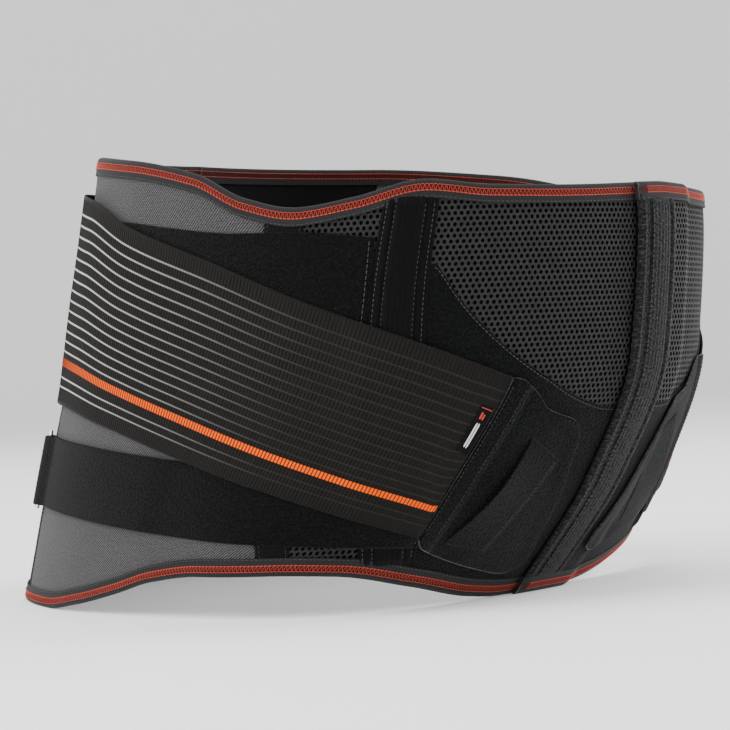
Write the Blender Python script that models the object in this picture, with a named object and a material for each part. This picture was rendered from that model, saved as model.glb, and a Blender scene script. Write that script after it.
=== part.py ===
"""Lumbar support belt for a rounded abdomen, closed as it is worn and standing on its lower edge.

+Z is up, the wearer faces -Y and the wearer's left is +X. Sizes in this file are millimetres.
A place on the belt is (round, height, offset): round goes from 0 at the centre of the front to 1 at
the centre of the back and on to 2, through the wearer's left; height is Z; offset is measured level,
outwards from the inner face of the belt's panels.
"""

import math

import bmesh
import bpy
from mathutils import Vector
from mathutils.geometry import delaunay_2d_cdt

MM = 0.001

# The torso that the belt is wrapped round: its half width, and at each height its depth forwards
# and backwards of the widest line. That line leans forwards as it rises.
HALF_WIDTH = 183.0
DEPTHS = ((0, 96, 254), (70, 149, 231), (140, 179, 205), (210, 183, 182), (280, 171, 163))
FRONT_POWER = 2.04
BACK_POWER = 2.2
WIDEST_Y = -24.9
FORWARD_LEAN = 0.0585
HALF_GIRTH = 580.0
COLUMNS = 60
ROW_STEP = 34.0
ROWS = 9

# The belt's upper and lower edges, as (round, height) from the front centre to the back centre.
TOP_EDGE = (
    (0, 236), (0.12, 234), (0.2, 235), (0.265, 239), (0.33, 231), (0.385, 227), (0.44, 234),
    (0.5, 250), (0.6, 262), (0.75, 270), (1, 272),
)
BOTTOM_EDGE = (
    (0, 0), (0.05, 0), (0.1, 2.5), (0.185, 13), (0.27, 22.5), (0.34, 24.5), (0.41, 24.5),
    (0.47, 20.5), (0.52, 12.5), (0.585, 4.5), (0.65, 0), (0.77, 0), (1, 4),
)

# Layers, as offsets.
PANEL = 2.6
LAYER_GAP = 0.3
CASING_INNER, CASING_OUTER = 3.3, 5.8
CASING_ROOF = 0.7
STAY_INNER, STAY_OUTER = 3.5, 4.5
BAND_OVER_SIDE, BAND_OVER_RINGS, BAND_SEWN, BAND_THICK = 8.3, 9.7, 3.2, 1.2
STRAP_THICK = 1.1
STRAP_LOW, STRAP_HIGH, STRAP_OVER_CASING = 3.9, 5.4, 7.1
CLOSURE_RAMP = (0.05, 0.078)
CLOSURE_LIFT = 5.8
TAB_LOW, TAB_HIGH, TAB_THICK = 4.3, 8.2, 1.9
TAB_RAMP = (0.165, 0.195)
HOOK_THICK = 0.7
HOOK_GAP = 0.5

# Bound edges: a folded tape with a channel that the panels' edges sit in.
BINDING_DEPTH = 10.5
BINDING_WALL = 0.7
BINDING_WEB = 1.0
BINDING_INNER, BINDING_OUTER = -1.3, 3.9
BINDING_ROUND = 0.9
EDGE_IN_BINDING = BINDING_WEB + 0.4

# Where the front halves swing open: an upright line at each side, outside every layer.
HINGE_Y = -38.0
HINGE_OFFSET = 11.0
HINGE_GAP = 0.3
NEAR_HINGE = 0.012
LEAN_REACH = 0.09

# How far round a layer takes to step over another, and where the band rises over the rings.
CASING_STEP = 0.03
RETURN_STEP = (0.035, 0.01)
BAR_RISE, BAR_FALL = 0.035, 0.012
WEBBING_RISE, WEBBING_STEP = 0.02, 0.004
BAND_RISE, RISE_RUN = 0.66, 0.04
BAND_FALL, FALL_RUN = 0.82, 0.08
BAND_HEIGHTS = (100, 270)
TAB_HEIGHTS = (10, 145)
SPLIT_TAPE = 4.0

# Seams, as (round at the lower edge, round at the upper edge), over SEAM_HEIGHTS. Half way up, each
# seam is SEAM_BOW farther round than a straight one, which makes it hang upright.
SEAM_HEIGHTS = (22.0, 233.0)
SEAM_BOW = 0.029
FRONT_CASING_EDGE = (0.190, 0.250)
REAR_CASING_EDGE = (0.246, 0.300)
TAPE_FRONT = (0.309, 0.374)
TAPE_REAR = (0.341, 0.415)
BACK_PANEL_EDGE = (0.745, 0.745)
CLOSURE_OUTER_END = -0.038
CLOSURE_INNER_END = 0.030
CASING_CENTRE = -0.008
CENTRE_CASING_HALF = 17.0
BACK_CASING_ROUND = 0.962
BACK_CASING_HALF = 15.0
STAY_HALF = 6.5
STAY_INSET = 22.0
CLOSURE_STRIP_ENDS = (-0.033, 0.024)
CASING_END_GAP = 5.5
CASING_PARTS = 4

# The front panel's curved seam between mesh above and velour below.
MESH_SEAM = (
    (-0.04, 111), (0, 109), (0.045, 110), (0.09, 117), (0.127, 128), (0.154, 137), (0.186, 151),
    (0.22, 170), (0.25, 193),
)
MESH_SEAM_TURN, MESH_SEAM_END = 0.2, 196.0
SEAM_GAP = 0.8

# The elastic band's edges, and where its pull tab starts.
BAND_TOP = (
    (0.167, 129), (0.257, 150), (0.372, 176), (0.471, 200), (0.589, 224), (0.675, 243), (0.78, 250),
    (0.93, 252),
)
BAND_BOTTOM = (
    (0.206, 42), (0.279, 55), (0.368, 72), (0.468, 90), (0.604, 111), (0.719, 122), (0.8, 124),
    (0.93, 124),
)
BAND_REAR_END = 0.93
TAB_SEAM = ((0.206, 42), (0.167, 129))
TAB_OUTLINE = (
    (0.154, 127), (0.134, 118), (0.122, 111), (0.106, 107), (0.09, 104), (0.078, 99), (0.072, 93),
    (0.066, 76), (0.06, 58), (0.056, 40), (0.05, 25), (0.054, 18), (0.07, 15), (0.088, 15.5),
    (0.107, 18), (0.146, 24), (0.189, 33), (0.201, 37),
)
LEFT_TAB_SHIFT = (-0.027, 7.0)
SHIFT_FADES, SHIFT_ENDS, RISE_ENDS = 0.2, 0.4, 0.6
TAB_SEAM_GAP = 0.5
TAB_MIDDLE = (0.125, 70.0)
HOOK_SHARE = 0.88
TAB_AXIS_OFFSET = 12.5
POCKET_CORNER = (0.096, 85.0)
POCKET_ACROSS = (0.041, 14.0)
POCKET_ALONG = (0.0415, -51.5)
POCKET_THICK = 1.2
POCKET_BULGE = 12.0
LABEL_CORNERS = ((0.192, 116), (0.180, 113), (0.193, 89), (0.206, 93))
LABEL_THICK = 0.5

# Velour straps: edges as (round, height), the sewn end, the ring they turn round and the free end.
UPPER_STRAP = {
    "top": ((0.305, 208), (0.38, 213.5), (0.448, 215), (0.53, 221), (0.6, 227), (0.75, 235)),
    "width": 50.0, "sewn": 0.3115, "over_casing": False, "return": 0.6,
}
LOWER_STRAP = {
    "top": ((0.2, 78), (0.35, 84), (0.47, 90), (0.54, 94), (0.65, 100), (0.75, 104)),
    "width": 42.0, "sewn": 0.2, "over_casing": True, "return": 0.5,
}
RING_BAR_FRONT = 0.745
RING_BAR_REAR = 0.772
RING_WIRE = 2.0
UPPER_RING_OFFSET, LOWER_RING_OFFSET = 6.1, 6.8
UPPER_RING_SLACK, LOWER_RING_SLACK = 1.2, 1.5
RING_END_GAP = 1.0
WEBBING_END = 0.805
RING_CORNER = 2.0
PAD_CORNER = (0.02, 14.0)
PAD_HALF_ROUND = 0.12
PAD_HEIGHTS = (62.0, 196.0)
PAD_OFFSETS = (-8.5, -0.4)


def smooth(points, x):
    """A curve through (x, y) points that never overshoots them."""
    if x <= points[0][0]:
        return points[0][1]
    if x >= points[-1][0]:
        return points[-1][1]
    slopes = [(b[1] - a[1]) / (b[0] - a[0]) for a, b in zip(points, points[1:])]
    tangents = [slopes[0]]
    for before, after in zip(slopes, slopes[1:]):
        turning = before * after <= 0
        tangents.append(0.0 if turning else 2 * before * after / (before + after))
    tangents.append(slopes[-1])
    i = max(k for k, point in enumerate(points[:-1]) if point[0] <= x)
    (x0, y0), (x1, y1) = points[i], points[i + 1]
    step = x1 - x0
    t = (x - x0) / step
    return (
        (2 * t**3 - 3 * t**2 + 1) * y0 + (t**3 - 2 * t**2 + t) * step * tangents[i]
        + (3 * t**2 - 2 * t**3) * y1 + (t**3 - t**2) * step * tangents[i + 1]
    )


def mix(a, b, t):
    t = min(max(t, 0.0), 1.0)
    return a + (b - a) * t


def section_point(turn, height):
    """A point of the torso's level section: turn is 0 at the front and pi at the back."""
    front = smooth([(z, f) for z, f, b in DEPTHS], height)
    back = smooth([(z, b) for z, f, b in DEPTHS], height)
    forwards = math.cos(turn) >= 0
    power = 2 / (FRONT_POWER if forwards else BACK_POWER)
    depth = -front if forwards else back
    x = HALF_WIDTH * abs(math.sin(turn)) ** power
    y = depth * abs(math.cos(turn)) ** power
    return Vector((x, y + WIDEST_Y - FORWARD_LEAN * height))


def torso_row(height, samples=720):
    """The section's points, and its level outward normals, at equal steps of its length."""
    half = [section_point(math.pi * i / samples, height) for i in range(samples + 1)]
    run = [0.0]
    for a, b in zip(half, half[1:]):
        run.append(run[-1] + (b - a).length)
    points, k = [], 0
    for column in range(COLUMNS // 2 + 1):
        target = run[-1] * column / (COLUMNS // 2)
        while k < samples - 1 and run[k + 1] < target:
            k += 1
        points.append(half[k].lerp(half[k + 1], (target - run[k]) / (run[k + 1] - run[k])))
    points += [Vector((-p.x, p.y)) for p in reversed(points[1:-1])]
    normals = []
    for i, _ in enumerate(points):
        along = points[(i + 1) % COLUMNS] - points[i - 1]
        normals.append(Vector((along.y, -along.x)).normalized())
    return points, normals


TORSO = [torso_row(ROW_STEP * row) for row in range(ROWS)]


def on_torso(around, height, offset=0.0):
    """The point, in millimetres, at a place on the belt.

    The torso is made of flat triangles: each cell between two rows and two columns is cut by the
    diagonal that rises away from the front centre.
    """
    column = (around % 2) * COLUMNS / 2
    i = int(column)
    row = min(max(math.floor(height / ROW_STEP), 0), ROWS - 2)
    u, v = column - i, height / ROW_STEP - row
    here, there = i % COLUMNS, (i + 1) % COLUMNS
    if i >= COLUMNS // 2:
        u, here, there = 1 - u, there, here
    shares = (
        (0, here, 1 - max(u, v)), (0, there, u - v) if u >= v else (1, here, v - u),
        (1, there, min(u, v)),
    )
    place, outward = Vector((0.0, 0.0)), Vector((0.0, 0.0))
    for above, corner, share in shares:
        points, normals = TORSO[row + above]
        place += points[corner] * share
        outward += normals[corner] * share
    return Vector((*(place + outward * offset), height))


def rim(curve, around):
    """The height of a rim curve, straight between columns."""
    column = abs(around) * COLUMNS / 2
    i = math.floor(column)
    low, high = (smooth(curve, k * 2 / COLUMNS) for k in (i, i + 1))
    return low + (high - low) * (column - i)


def top_edge(around):
    return rim(TOP_EDGE, around)


def bottom_edge(around):
    return rim(BOTTOM_EDGE, around)


def seam(ends, height):
    """The round of a bowed seam at a height."""
    low, high = SEAM_HEIGHTS
    t = (height - low) / (high - low)
    return ends[0] + (ends[1] - ends[0]) * t + SEAM_BOW * 4 * t * (1 - t)


def hinge_seam(height, shift=0.0):
    """The round at which the side is HINGE_Y + shift; a positive shift is on the rear side."""
    low, high = 0.3, 0.62
    for _ in range(30):
        middle = (low + high) / 2
        if on_torso(middle, height).y < HINGE_Y + shift:
            low = middle
        else:
            high = middle
    return (low + high) / 2


def hinge_line(shift):
    """The hinge line, moved by a shift, as a function of height."""
    return lambda z: hinge_seam(z, shift)


def meet_hinge(upper):
    """The round at which the hinge line crosses the upper or the lower edge."""
    height = 240.0 if upper else 20.0
    for _ in range(20):
        height = (top_edge if upper else bottom_edge)(hinge_seam(height))
    return hinge_seam(height)


def material(name, colour, roughness, metallic=0.0):
    made = bpy.data.materials.new(name)
    made.use_nodes = True
    shader = made.node_tree.nodes["Principled BSDF"]
    shader.inputs["Base Color"].default_value = (*colour, 1)
    shader.inputs["Roughness"].default_value = roughness
    shader.inputs["Metallic"].default_value = metallic
    return made


def add_object(name, mesh, finish):
    """An object from a bmesh in millimetres, its faces turned outwards."""
    bmesh.ops.recalc_face_normals(mesh, faces=mesh.faces)
    bmesh.ops.scale(mesh, vec=(MM, MM, MM), verts=mesh.verts)
    data = bpy.data.meshes.new(name)
    mesh.to_mesh(data)
    mesh.free()
    data.materials.append(finish)
    made = bpy.data.objects.new(name, data)
    bpy.context.collection.objects.link(made)
    return made


def diagonals(lows, highs):
    """The flat diagonals of the torso's cells that a box of (along, height) touches."""
    lines = []
    column_step = HALF_GIRTH * 2 / COLUMNS
    for k in range(math.floor(lows[0] / column_step), math.ceil(highs[0] / column_step)):
        rising = (k % COLUMNS) < COLUMNS // 2
        for row in range(math.floor(lows[1] / ROW_STEP), math.ceil(highs[1] / ROW_STEP)):
            start, end = (k, k + 1) if rising else (k + 1, k)
            lines.append(
                ((start * column_step, row * ROW_STEP), (end * column_step, (row + 1) * ROW_STEP))
            )
    return lines


def sheet(name, finish, outline, inner, outer, ribs=()):
    """Cut a flat outline of (round, height) corners and lay it on the torso between two offsets.

    The cut is divided along the torso's own rows and columns, so layers lie on each other without
    crossing. inner and outer are numbers, or functions of round and height.
    """
    flat = [Vector((w * HALF_GIRTH, z)) for w, z in outline]
    if sum(a.cross(b) for a, b in zip(flat, flat[1:] + flat[:1])) < 0:
        flat.reverse()
    corners = list(range(len(flat)))
    lows = [min(p[k] for p in flat) for k in (0, 1)]
    highs = [max(p[k] for p in flat) for k in (0, 1)]
    column_step = HALF_GIRTH * 2 / COLUMNS
    lines = []
    for k in range(math.ceil(lows[0] / column_step), math.floor(highs[0] / column_step) + 1):
        lines.append(((k * column_step, lows[1] - 1), (k * column_step, highs[1] + 1)))
    for k in range(math.ceil(lows[1] / ROW_STEP), math.floor(highs[1] / ROW_STEP) + 1):
        lines.append(((lows[0] - 1, k * ROW_STEP), (highs[0] + 1, k * ROW_STEP)))
    lines += diagonals(lows, highs)
    lines += [tuple((w * HALF_GIRTH, z) for w, z in rib) for rib in ribs]
    edges = []
    for start, end in lines:
        edges.append((len(flat), len(flat) + 1))
        flat += [Vector(start), Vector(end)]
    cut = delaunay_2d_cdt(flat, edges, [corners], 0, 1e-4, True)
    places = [(p.x / HALF_GIRTH, p.y) for p in cut[0]]
    kept = [tuple(face) for face, inside in zip(cut[2], cut[5]) if inside]

    mesh = bmesh.new()
    used = sorted({i for face in kept for i in face})
    skins = []
    for offset in (inner, outer):
        skin = {}
        for i in used:
            w, z = places[i]
            skin[i] = mesh.verts.new(on_torso(w, z, offset(w, z) if callable(offset) else offset))
        skins.append(skin)
    count = {}
    for face in kept:
        mesh.faces.new([skins[1][i] for i in face])
        mesh.faces.new([skins[0][i] for i in reversed(face)])
        for a, b in zip(face, face[1:] + face[:1]):
            count[frozenset((a, b))] = count.get(frozenset((a, b)), 0) + 1
    for pair in (edge for edge, uses in count.items() if uses == 1):
        a, b = pair
        mesh.faces.new([skins[0][a], skins[0][b], skins[1][b], skins[1][a]])
    return add_object(name, mesh, finish)


def sweep(name, finish, rings, closed=False):
    """Skin a run of matching rings of points, and cap its ends unless the run is a loop."""
    mesh = bmesh.new()
    rows = [[mesh.verts.new(point) for point in ring] for ring in rings]
    pairs = list(zip(rows, rows[1:])) + ([(rows[-1], rows[0])] if closed else [])
    for first, second in pairs:
        for k, _ in enumerate(first):
            nxt = (k + 1) % len(first)
            mesh.faces.new([first[k], first[nxt], second[nxt], second[k]])
    if not closed:
        mesh.faces.new(rows[0])
        mesh.faces.new(rows[-1])
    return add_object(name, mesh, finish)


def steps(start, end):
    """The rounds from start to end, with every column's round between them."""
    columns = COLUMNS / 2
    low, high = sorted((start, end))
    inside = [k / columns for k in range(math.ceil(low * columns), math.floor(high * columns) + 1)]
    inside = [w for w in inside if low + 1e-3 < w < high - 1e-3]
    return [start] + (inside if end > start else inside[::-1]) + [end]


def heights(start, end, parts_per_row=1):
    """The heights from start to end, with every row's height between them."""
    step = ROW_STEP / parts_per_row
    inside = [step * k for k in range(ROWS * parts_per_row) if start + 1 < step * k < end - 1]
    return [start] + inside + [end]


def mirrored(points, side):
    return [(w * side, z) for w, z in points]


def upright_edge(line, low, high):
    """Points up a side of a panel, where line gives the round at a height."""
    return [(line(z), z) for z in heights(low, high)]


def meet(line, edge, start):
    """The height at which an upright line crosses a belt edge."""
    z = start
    for _ in range(20):
        z = edge(line(z))
    return z


def panel_outline(front, rear, inset=EDGE_IN_BINDING):
    """A panel between two upright lines, from the lower to the upper edge of the belt."""
    def floor(w):
        return bottom_edge(w) + inset

    def roof(w):
        return top_edge(w) - inset

    front_low, front_high = meet(front, floor, 10), meet(front, roof, 240)
    rear_low, rear_high = meet(rear, floor, 10), meet(rear, roof, 240)
    below = [(w, floor(w)) for w in steps(front(front_low), rear(rear_low))]
    above = [(w, roof(w)) for w in steps(rear(rear_high), front(front_high))]
    up = upright_edge(rear, rear_low, rear_high)[1:-1]
    down = upright_edge(front, front_low, front_high)[1:-1][::-1]
    return below + up + above + down


def front_outlines(closure, edge):
    """The front panel from its closure to an upright edge, cut in two by its curved seam."""
    def floor(w):
        return bottom_edge(w) + EDGE_IN_BINDING

    def roof(w):
        return top_edge(w) - EDGE_IN_BINDING

    low, high = meet(edge, floor, 10), meet(edge, roof, 240)
    curve = [(w, smooth(MESH_SEAM, abs(w))) for w in steps(closure, MESH_SEAM_TURN)]
    curve.append((edge(MESH_SEAM_END), MESH_SEAM_END))
    upper = [(w, z + SEAM_GAP / 2) for w, z in curve]
    upper += upright_edge(edge, MESH_SEAM_END, high)[1:-1]
    upper += [(w, roof(w)) for w in steps(edge(high), closure)]
    upper += [(closure, z) for z in heights(curve[0][1], roof(closure))[-2:0:-1]]
    lower = [(w, floor(w)) for w in steps(closure, edge(low))]
    lower += upright_edge(edge, low, MESH_SEAM_END)[1:-1]
    lower += [(w, z - SEAM_GAP / 2) for w, z in reversed(curve)]
    lower += [(closure, z) for z in heights(floor(closure), curve[0][1])[-2:0:-1]]
    return upper, lower


def closure_lift(side):
    """The outer front half rises over the inner one near the front centre."""
    start, end = CLOSURE_RAMP
    if side < 0:
        return lambda w: 0.0
    return lambda w: mix(CLOSURE_LIFT, 0.0, (w - start) / (end - start))


def lifted(base, side):
    lift = closure_lift(side)
    return lambda w, z: base + lift(w)


def binding(name, finish, rounds, upper, side=0):
    """A folded tape along a belt edge. rounds is a list of rounds, or of functions of height."""
    lift = closure_lift(side)
    profile = (
        (0, BINDING_INNER + BINDING_ROUND), (0, BINDING_OUTER - BINDING_ROUND),
        (BINDING_ROUND, BINDING_OUTER), (BINDING_DEPTH, BINDING_OUTER),
        (BINDING_DEPTH, BINDING_OUTER - BINDING_WALL), (BINDING_WEB, BINDING_OUTER - BINDING_WALL),
        (BINDING_WEB, BINDING_INNER + BINDING_WALL), (BINDING_DEPTH, BINDING_INNER + BINDING_WALL),
        (BINDING_DEPTH, BINDING_INNER), (BINDING_ROUND, BINDING_INNER),
    )
    rings = []
    for place in rounds:
        ring = []
        for depth, offset in profile:
            w = place
            if callable(place):
                edge = meet(place, top_edge if upper else bottom_edge, 240 if upper else 10)
                w = place(edge - depth if upper else edge + depth)
            height = top_edge(w) - depth if upper else bottom_edge(w) + depth
            ring.append(on_torso(w, height, offset + (lift(w) if side > 0 else 0.0)))
        rings.append(ring)
    return sweep(name, finish, rings)


def casing(name, finish, centre, half, low, high, base=0.0):
    """A boned channel: a shallow tray, open towards the panel, that a stay lies in."""
    inner, outer = CASING_INNER + base, CASING_OUTER + base
    slot, roof = STAY_HALF + 1.0, outer - CASING_ROOF
    profile = (
        (-half, inner), (-half, outer - 1.0), (2.0 - half, outer), (0, outer), (half - 2.0, outer),
        (half, outer - 1.0), (half, inner), (slot, inner), (slot, roof), (0, roof), (-slot, roof),
        (-slot, inner),
    )
    rings = [
        [on_torso(centre(z) + across / HALF_GIRTH, z, offset) for across, offset in profile]
        for z in heights(low, high, CASING_PARTS)
    ]
    return sweep(name, finish, rings)


def stay(name, finish, centre, low, high, base=0.0):
    """A flat spring steel strip with a slightly domed section."""
    profile = (
        (-STAY_HALF, STAY_INNER), (-STAY_HALF, STAY_OUTER - 0.2), (0, STAY_OUTER),
        (STAY_HALF, STAY_OUTER - 0.2), (STAY_HALF, STAY_INNER),
    )
    rings = [
        [on_torso(centre(z) + across / HALF_GIRTH, z, offset + base) for across, offset in profile]
        for z in heights(low, high, CASING_PARTS)
    ]
    return sweep(name, finish, rings)


def leaning(w, z, middle):
    """The round of a strap's point: its cross lines lean like the hinge line beside it."""
    share = max(0.0, 1 - abs(w - hinge_seam(middle)) / LEAN_REACH)
    return w + share * (hinge_seam(z) - hinge_seam(middle))


def ribbon(name, finish, path, edges, side):
    """A flat strap whose middle follows (round, offset) points, between two edge curves."""
    flat = [Vector((w * HALF_GIRTH, offset)) for w, offset in path]
    rings = []
    for i, here in enumerate(flat):
        before, after = flat[max(i - 1, 0)], flat[min(i + 1, len(flat) - 1)]
        along = (after - before).normalized()
        normal = Vector((-along.y, along.x)) * STRAP_THICK / 2
        low, high = edges(here.x / HALF_GIRTH)
        middle = (low + high) / 2
        levels = [edges(leaning(here.x / HALF_GIRTH, low, middle))[0], middle]
        levels.append(edges(leaning(here.x / HALF_GIRTH, high, middle))[1])
        ring = []
        for point, order in ((here + normal, levels), (here - normal, levels[::-1])):
            for z in order:
                around = leaning(point.x / HALF_GIRTH, z, middle)
                ring.append(on_torso(side * around, z, point.y))
        rings.append(ring)
    return sweep(name, finish, rings)


def turn_round_bar(bar, offset, slack, towards_rear):
    """The path of a strap round a ring's bar, from its outer layer to its inner one."""
    radius = RING_WIRE / 2 + slack + STRAP_THICK / 2
    reach = radius / HALF_GIRTH * (1 if towards_rear else -1)
    turns = [math.pi / 2 - math.pi * k / 6 for k in range(7)]
    return [(bar + reach * math.cos(t), offset + radius * math.sin(t)) for t in turns]


def strap_edges(strap):
    return lambda w: (smooth(strap["top"], w) - strap["width"], smooth(strap["top"], w))


def strap_offset(strap, w):
    """The strap lies on the panel, rises over the side casing and over its own free end."""
    casing_end = REAR_CASING_EDGE[1] + 0.01
    if strap["over_casing"] and w < casing_end + CASING_STEP:
        return mix(STRAP_OVER_CASING, STRAP_LOW, (w - casing_end) / CASING_STEP)
    start, end = (strap["return"] - before for before in RETURN_STEP)
    return mix(STRAP_LOW, STRAP_HIGH, (w - start) / (end - start))


def build_strap(label, strap, ring_offset, slack, side, finish):
    """A velour strap in two lengths that meet at the hinge line, the rear one doubled on itself."""
    word = "left" if side > 0 else "right"
    edges = strap_edges(strap)
    middle = sum(edges(0.45)) / 2
    front_end = hinge_seam(middle, -HINGE_GAP)
    rear_start = hinge_seam(middle, HINGE_GAP)
    forward = [(w, strap_offset(strap, w)) for w in steps(strap["sewn"], front_end)]
    ribbon(f"{label}_strap_front_{word}", finish, forward, edges, side)

    loop = turn_round_bar(RING_BAR_FRONT, ring_offset, slack, True)
    out = [(w, strap_offset(strap, w)) for w in steps(rear_start, RING_BAR_FRONT - BAR_RISE)]
    back = [(w, STRAP_LOW) for w in steps(RING_BAR_FRONT - BAR_FALL, strap["return"])]
    ribbon(f"{label}_strap_rear_{word}", finish, out + loop + back, edges, side)


def build_ring(label, strap, offset, slack, side, steel, webbing):
    """A flat rectangular ring, and the webbing loop that holds its rear bar."""
    word = "left" if side > 0 else "right"
    low, high = strap_edges(strap)(RING_BAR_FRONT)
    low, high = low - RING_END_GAP - RING_WIRE / 2, high + RING_END_GAP + RING_WIRE / 2
    corner, half = RING_CORNER, RING_WIRE / 2
    left, right = RING_BAR_FRONT * HALF_GIRTH, RING_BAR_REAR * HALF_GIRTH
    loop = []
    for (x, z), first in zip(
        ((right - corner, high - corner), (left + corner, high - corner),
         (left + corner, low + corner), (right - corner, low + corner)), range(4)
    ):
        for k in range(3):
            angle = math.pi / 2 * first + math.pi / 4 * k
            loop.append((x, z, angle, corner))
    rings = []
    for x, z, angle, radius in loop:
        ring = []
        for reach, rise in ((half, half), (-half, half), (-half, -half), (half, -half)):
            away = radius + reach
            w = (x + away * math.cos(angle)) / HALF_GIRTH
            ring.append(on_torso(side * w, z + away * math.sin(angle), offset + rise))
        rings.append(ring)
    sweep(f"{label}_ring_{word}", steel, rings, closed=True)

    inside = (low + RING_WIRE / 2 + RING_END_GAP, high - RING_WIRE / 2 - RING_END_GAP)
    turn = turn_round_bar(RING_BAR_REAR, offset, slack, False)
    path = [(WEBBING_END, STRAP_HIGH), (RING_BAR_REAR + WEBBING_RISE, STRAP_HIGH)] + turn
    path += [(RING_BAR_REAR + BAR_FALL, STRAP_LOW), (WEBBING_END - WEBBING_STEP, STRAP_LOW)]
    ribbon(f"{label}_ring_loop_{word}", webbing, path, lambda w: inside, side)


def tab_shift(side):
    return LEFT_TAB_SHIFT if side > 0 else (0.0, 0.0)


def shifted(points, side):
    """Points of the tab, moved by the side's own shift and mirrored."""
    dw, dz = tab_shift(side)
    return [((w + dw) * side, z + dz) for w, z in points]


def tab_seam_round(z):
    (low_w, low_z), (high_w, high_z) = TAB_SEAM
    return low_w + (high_w - low_w) * (z - low_z) / (high_z - low_z)


def tab_offset(side, extra=0.0):
    """The tab lies on the velour and rises over the side casing."""
    start, end = TAB_RAMP
    lift = closure_lift(side)

    def offset(w, z):
        return extra + lift(w) + mix(TAB_LOW, TAB_HIGH, (abs(w) - start) / (end - start))

    return offset


def band_offset(side, extra=0.0):
    """The band comes up from its tab's seam, passes over the straps and rings, and is sewn down."""
    dw, dz = tab_shift(side)
    on_tab = tab_offset(side)

    def offset(w, z):
        around = abs(w)
        away = around - dw - tab_seam_round(z - dz)
        offset = mix(on_tab(w, z), BAND_OVER_SIDE, away / CASING_STEP)
        offset = mix(offset, BAND_OVER_RINGS, (around - BAND_RISE) / RISE_RUN)
        return extra + mix(offset, BAND_SEWN, (around - BAND_FALL) / FALL_RUN)

    return offset


def band_edges(side):
    dw, dz = tab_shift(side)

    def moved(points, w):
        along = w - dw if w < SHIFT_ENDS else w
        return smooth(points, along) + mix(dz, 0.0, (w - SHIFT_FADES) / (RISE_ENDS - SHIFT_FADES))

    def top(w):
        return moved(BAND_TOP, w)

    def bottom(w):
        return moved(BAND_BOTTOM, w)

    return top, bottom


def build_band(side, finish):
    """The elastic band in two lengths that meet at the hinge line."""
    word = "left" if side > 0 else "right"
    dw, dz = tab_shift(side)
    top, bottom = band_edges(side)
    low, high = (meet(hinge_seam, edge, 150) for edge in (bottom, top))
    gap = TAB_SEAM_GAP / HALF_GIRTH

    tab_low = (TAB_SEAM[0][0] + dw + gap, TAB_SEAM[0][1] + dz)
    tab_high = (TAB_SEAM[1][0] + dw + gap, TAB_SEAM[1][1] + dz)
    below = steps(tab_low[0], hinge_seam(low, -HINGE_GAP))
    above = steps(hinge_seam(high, -HINGE_GAP), tab_high[0])
    outline = [(w, bottom(w)) for w in below]
    outline += upright_edge(hinge_line(-HINGE_GAP), low, high)[1:-1]
    outline += [(w, top(w)) for w in above]
    outline[0], outline[-1] = tab_low, tab_high
    ramp = [((w + CASING_STEP + dw) * side, z + dz) for w, z in TAB_SEAM]
    offsets = (band_offset(side), band_offset(side, BAND_THICK))
    sheet(f"band_front_{word}", finish, mirrored(outline, side), *offsets, ribs=[ramp])

    outline = [(w, bottom(w)) for w in steps(hinge_seam(low, HINGE_GAP), BAND_REAR_END)]
    outline += [(w, top(w)) for w in steps(BAND_REAR_END, hinge_seam(high, HINGE_GAP))]
    outline += upright_edge(hinge_line(HINGE_GAP), low, high)[1:-1][::-1]
    low, high = BAND_HEIGHTS
    ribs = [((w * side, low), (w * side, high)) for w in (BAND_RISE, BAND_FALL)]
    sheet(f"band_rear_{word}", finish, mirrored(outline, side), *offsets, ribs=ribs)


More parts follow.
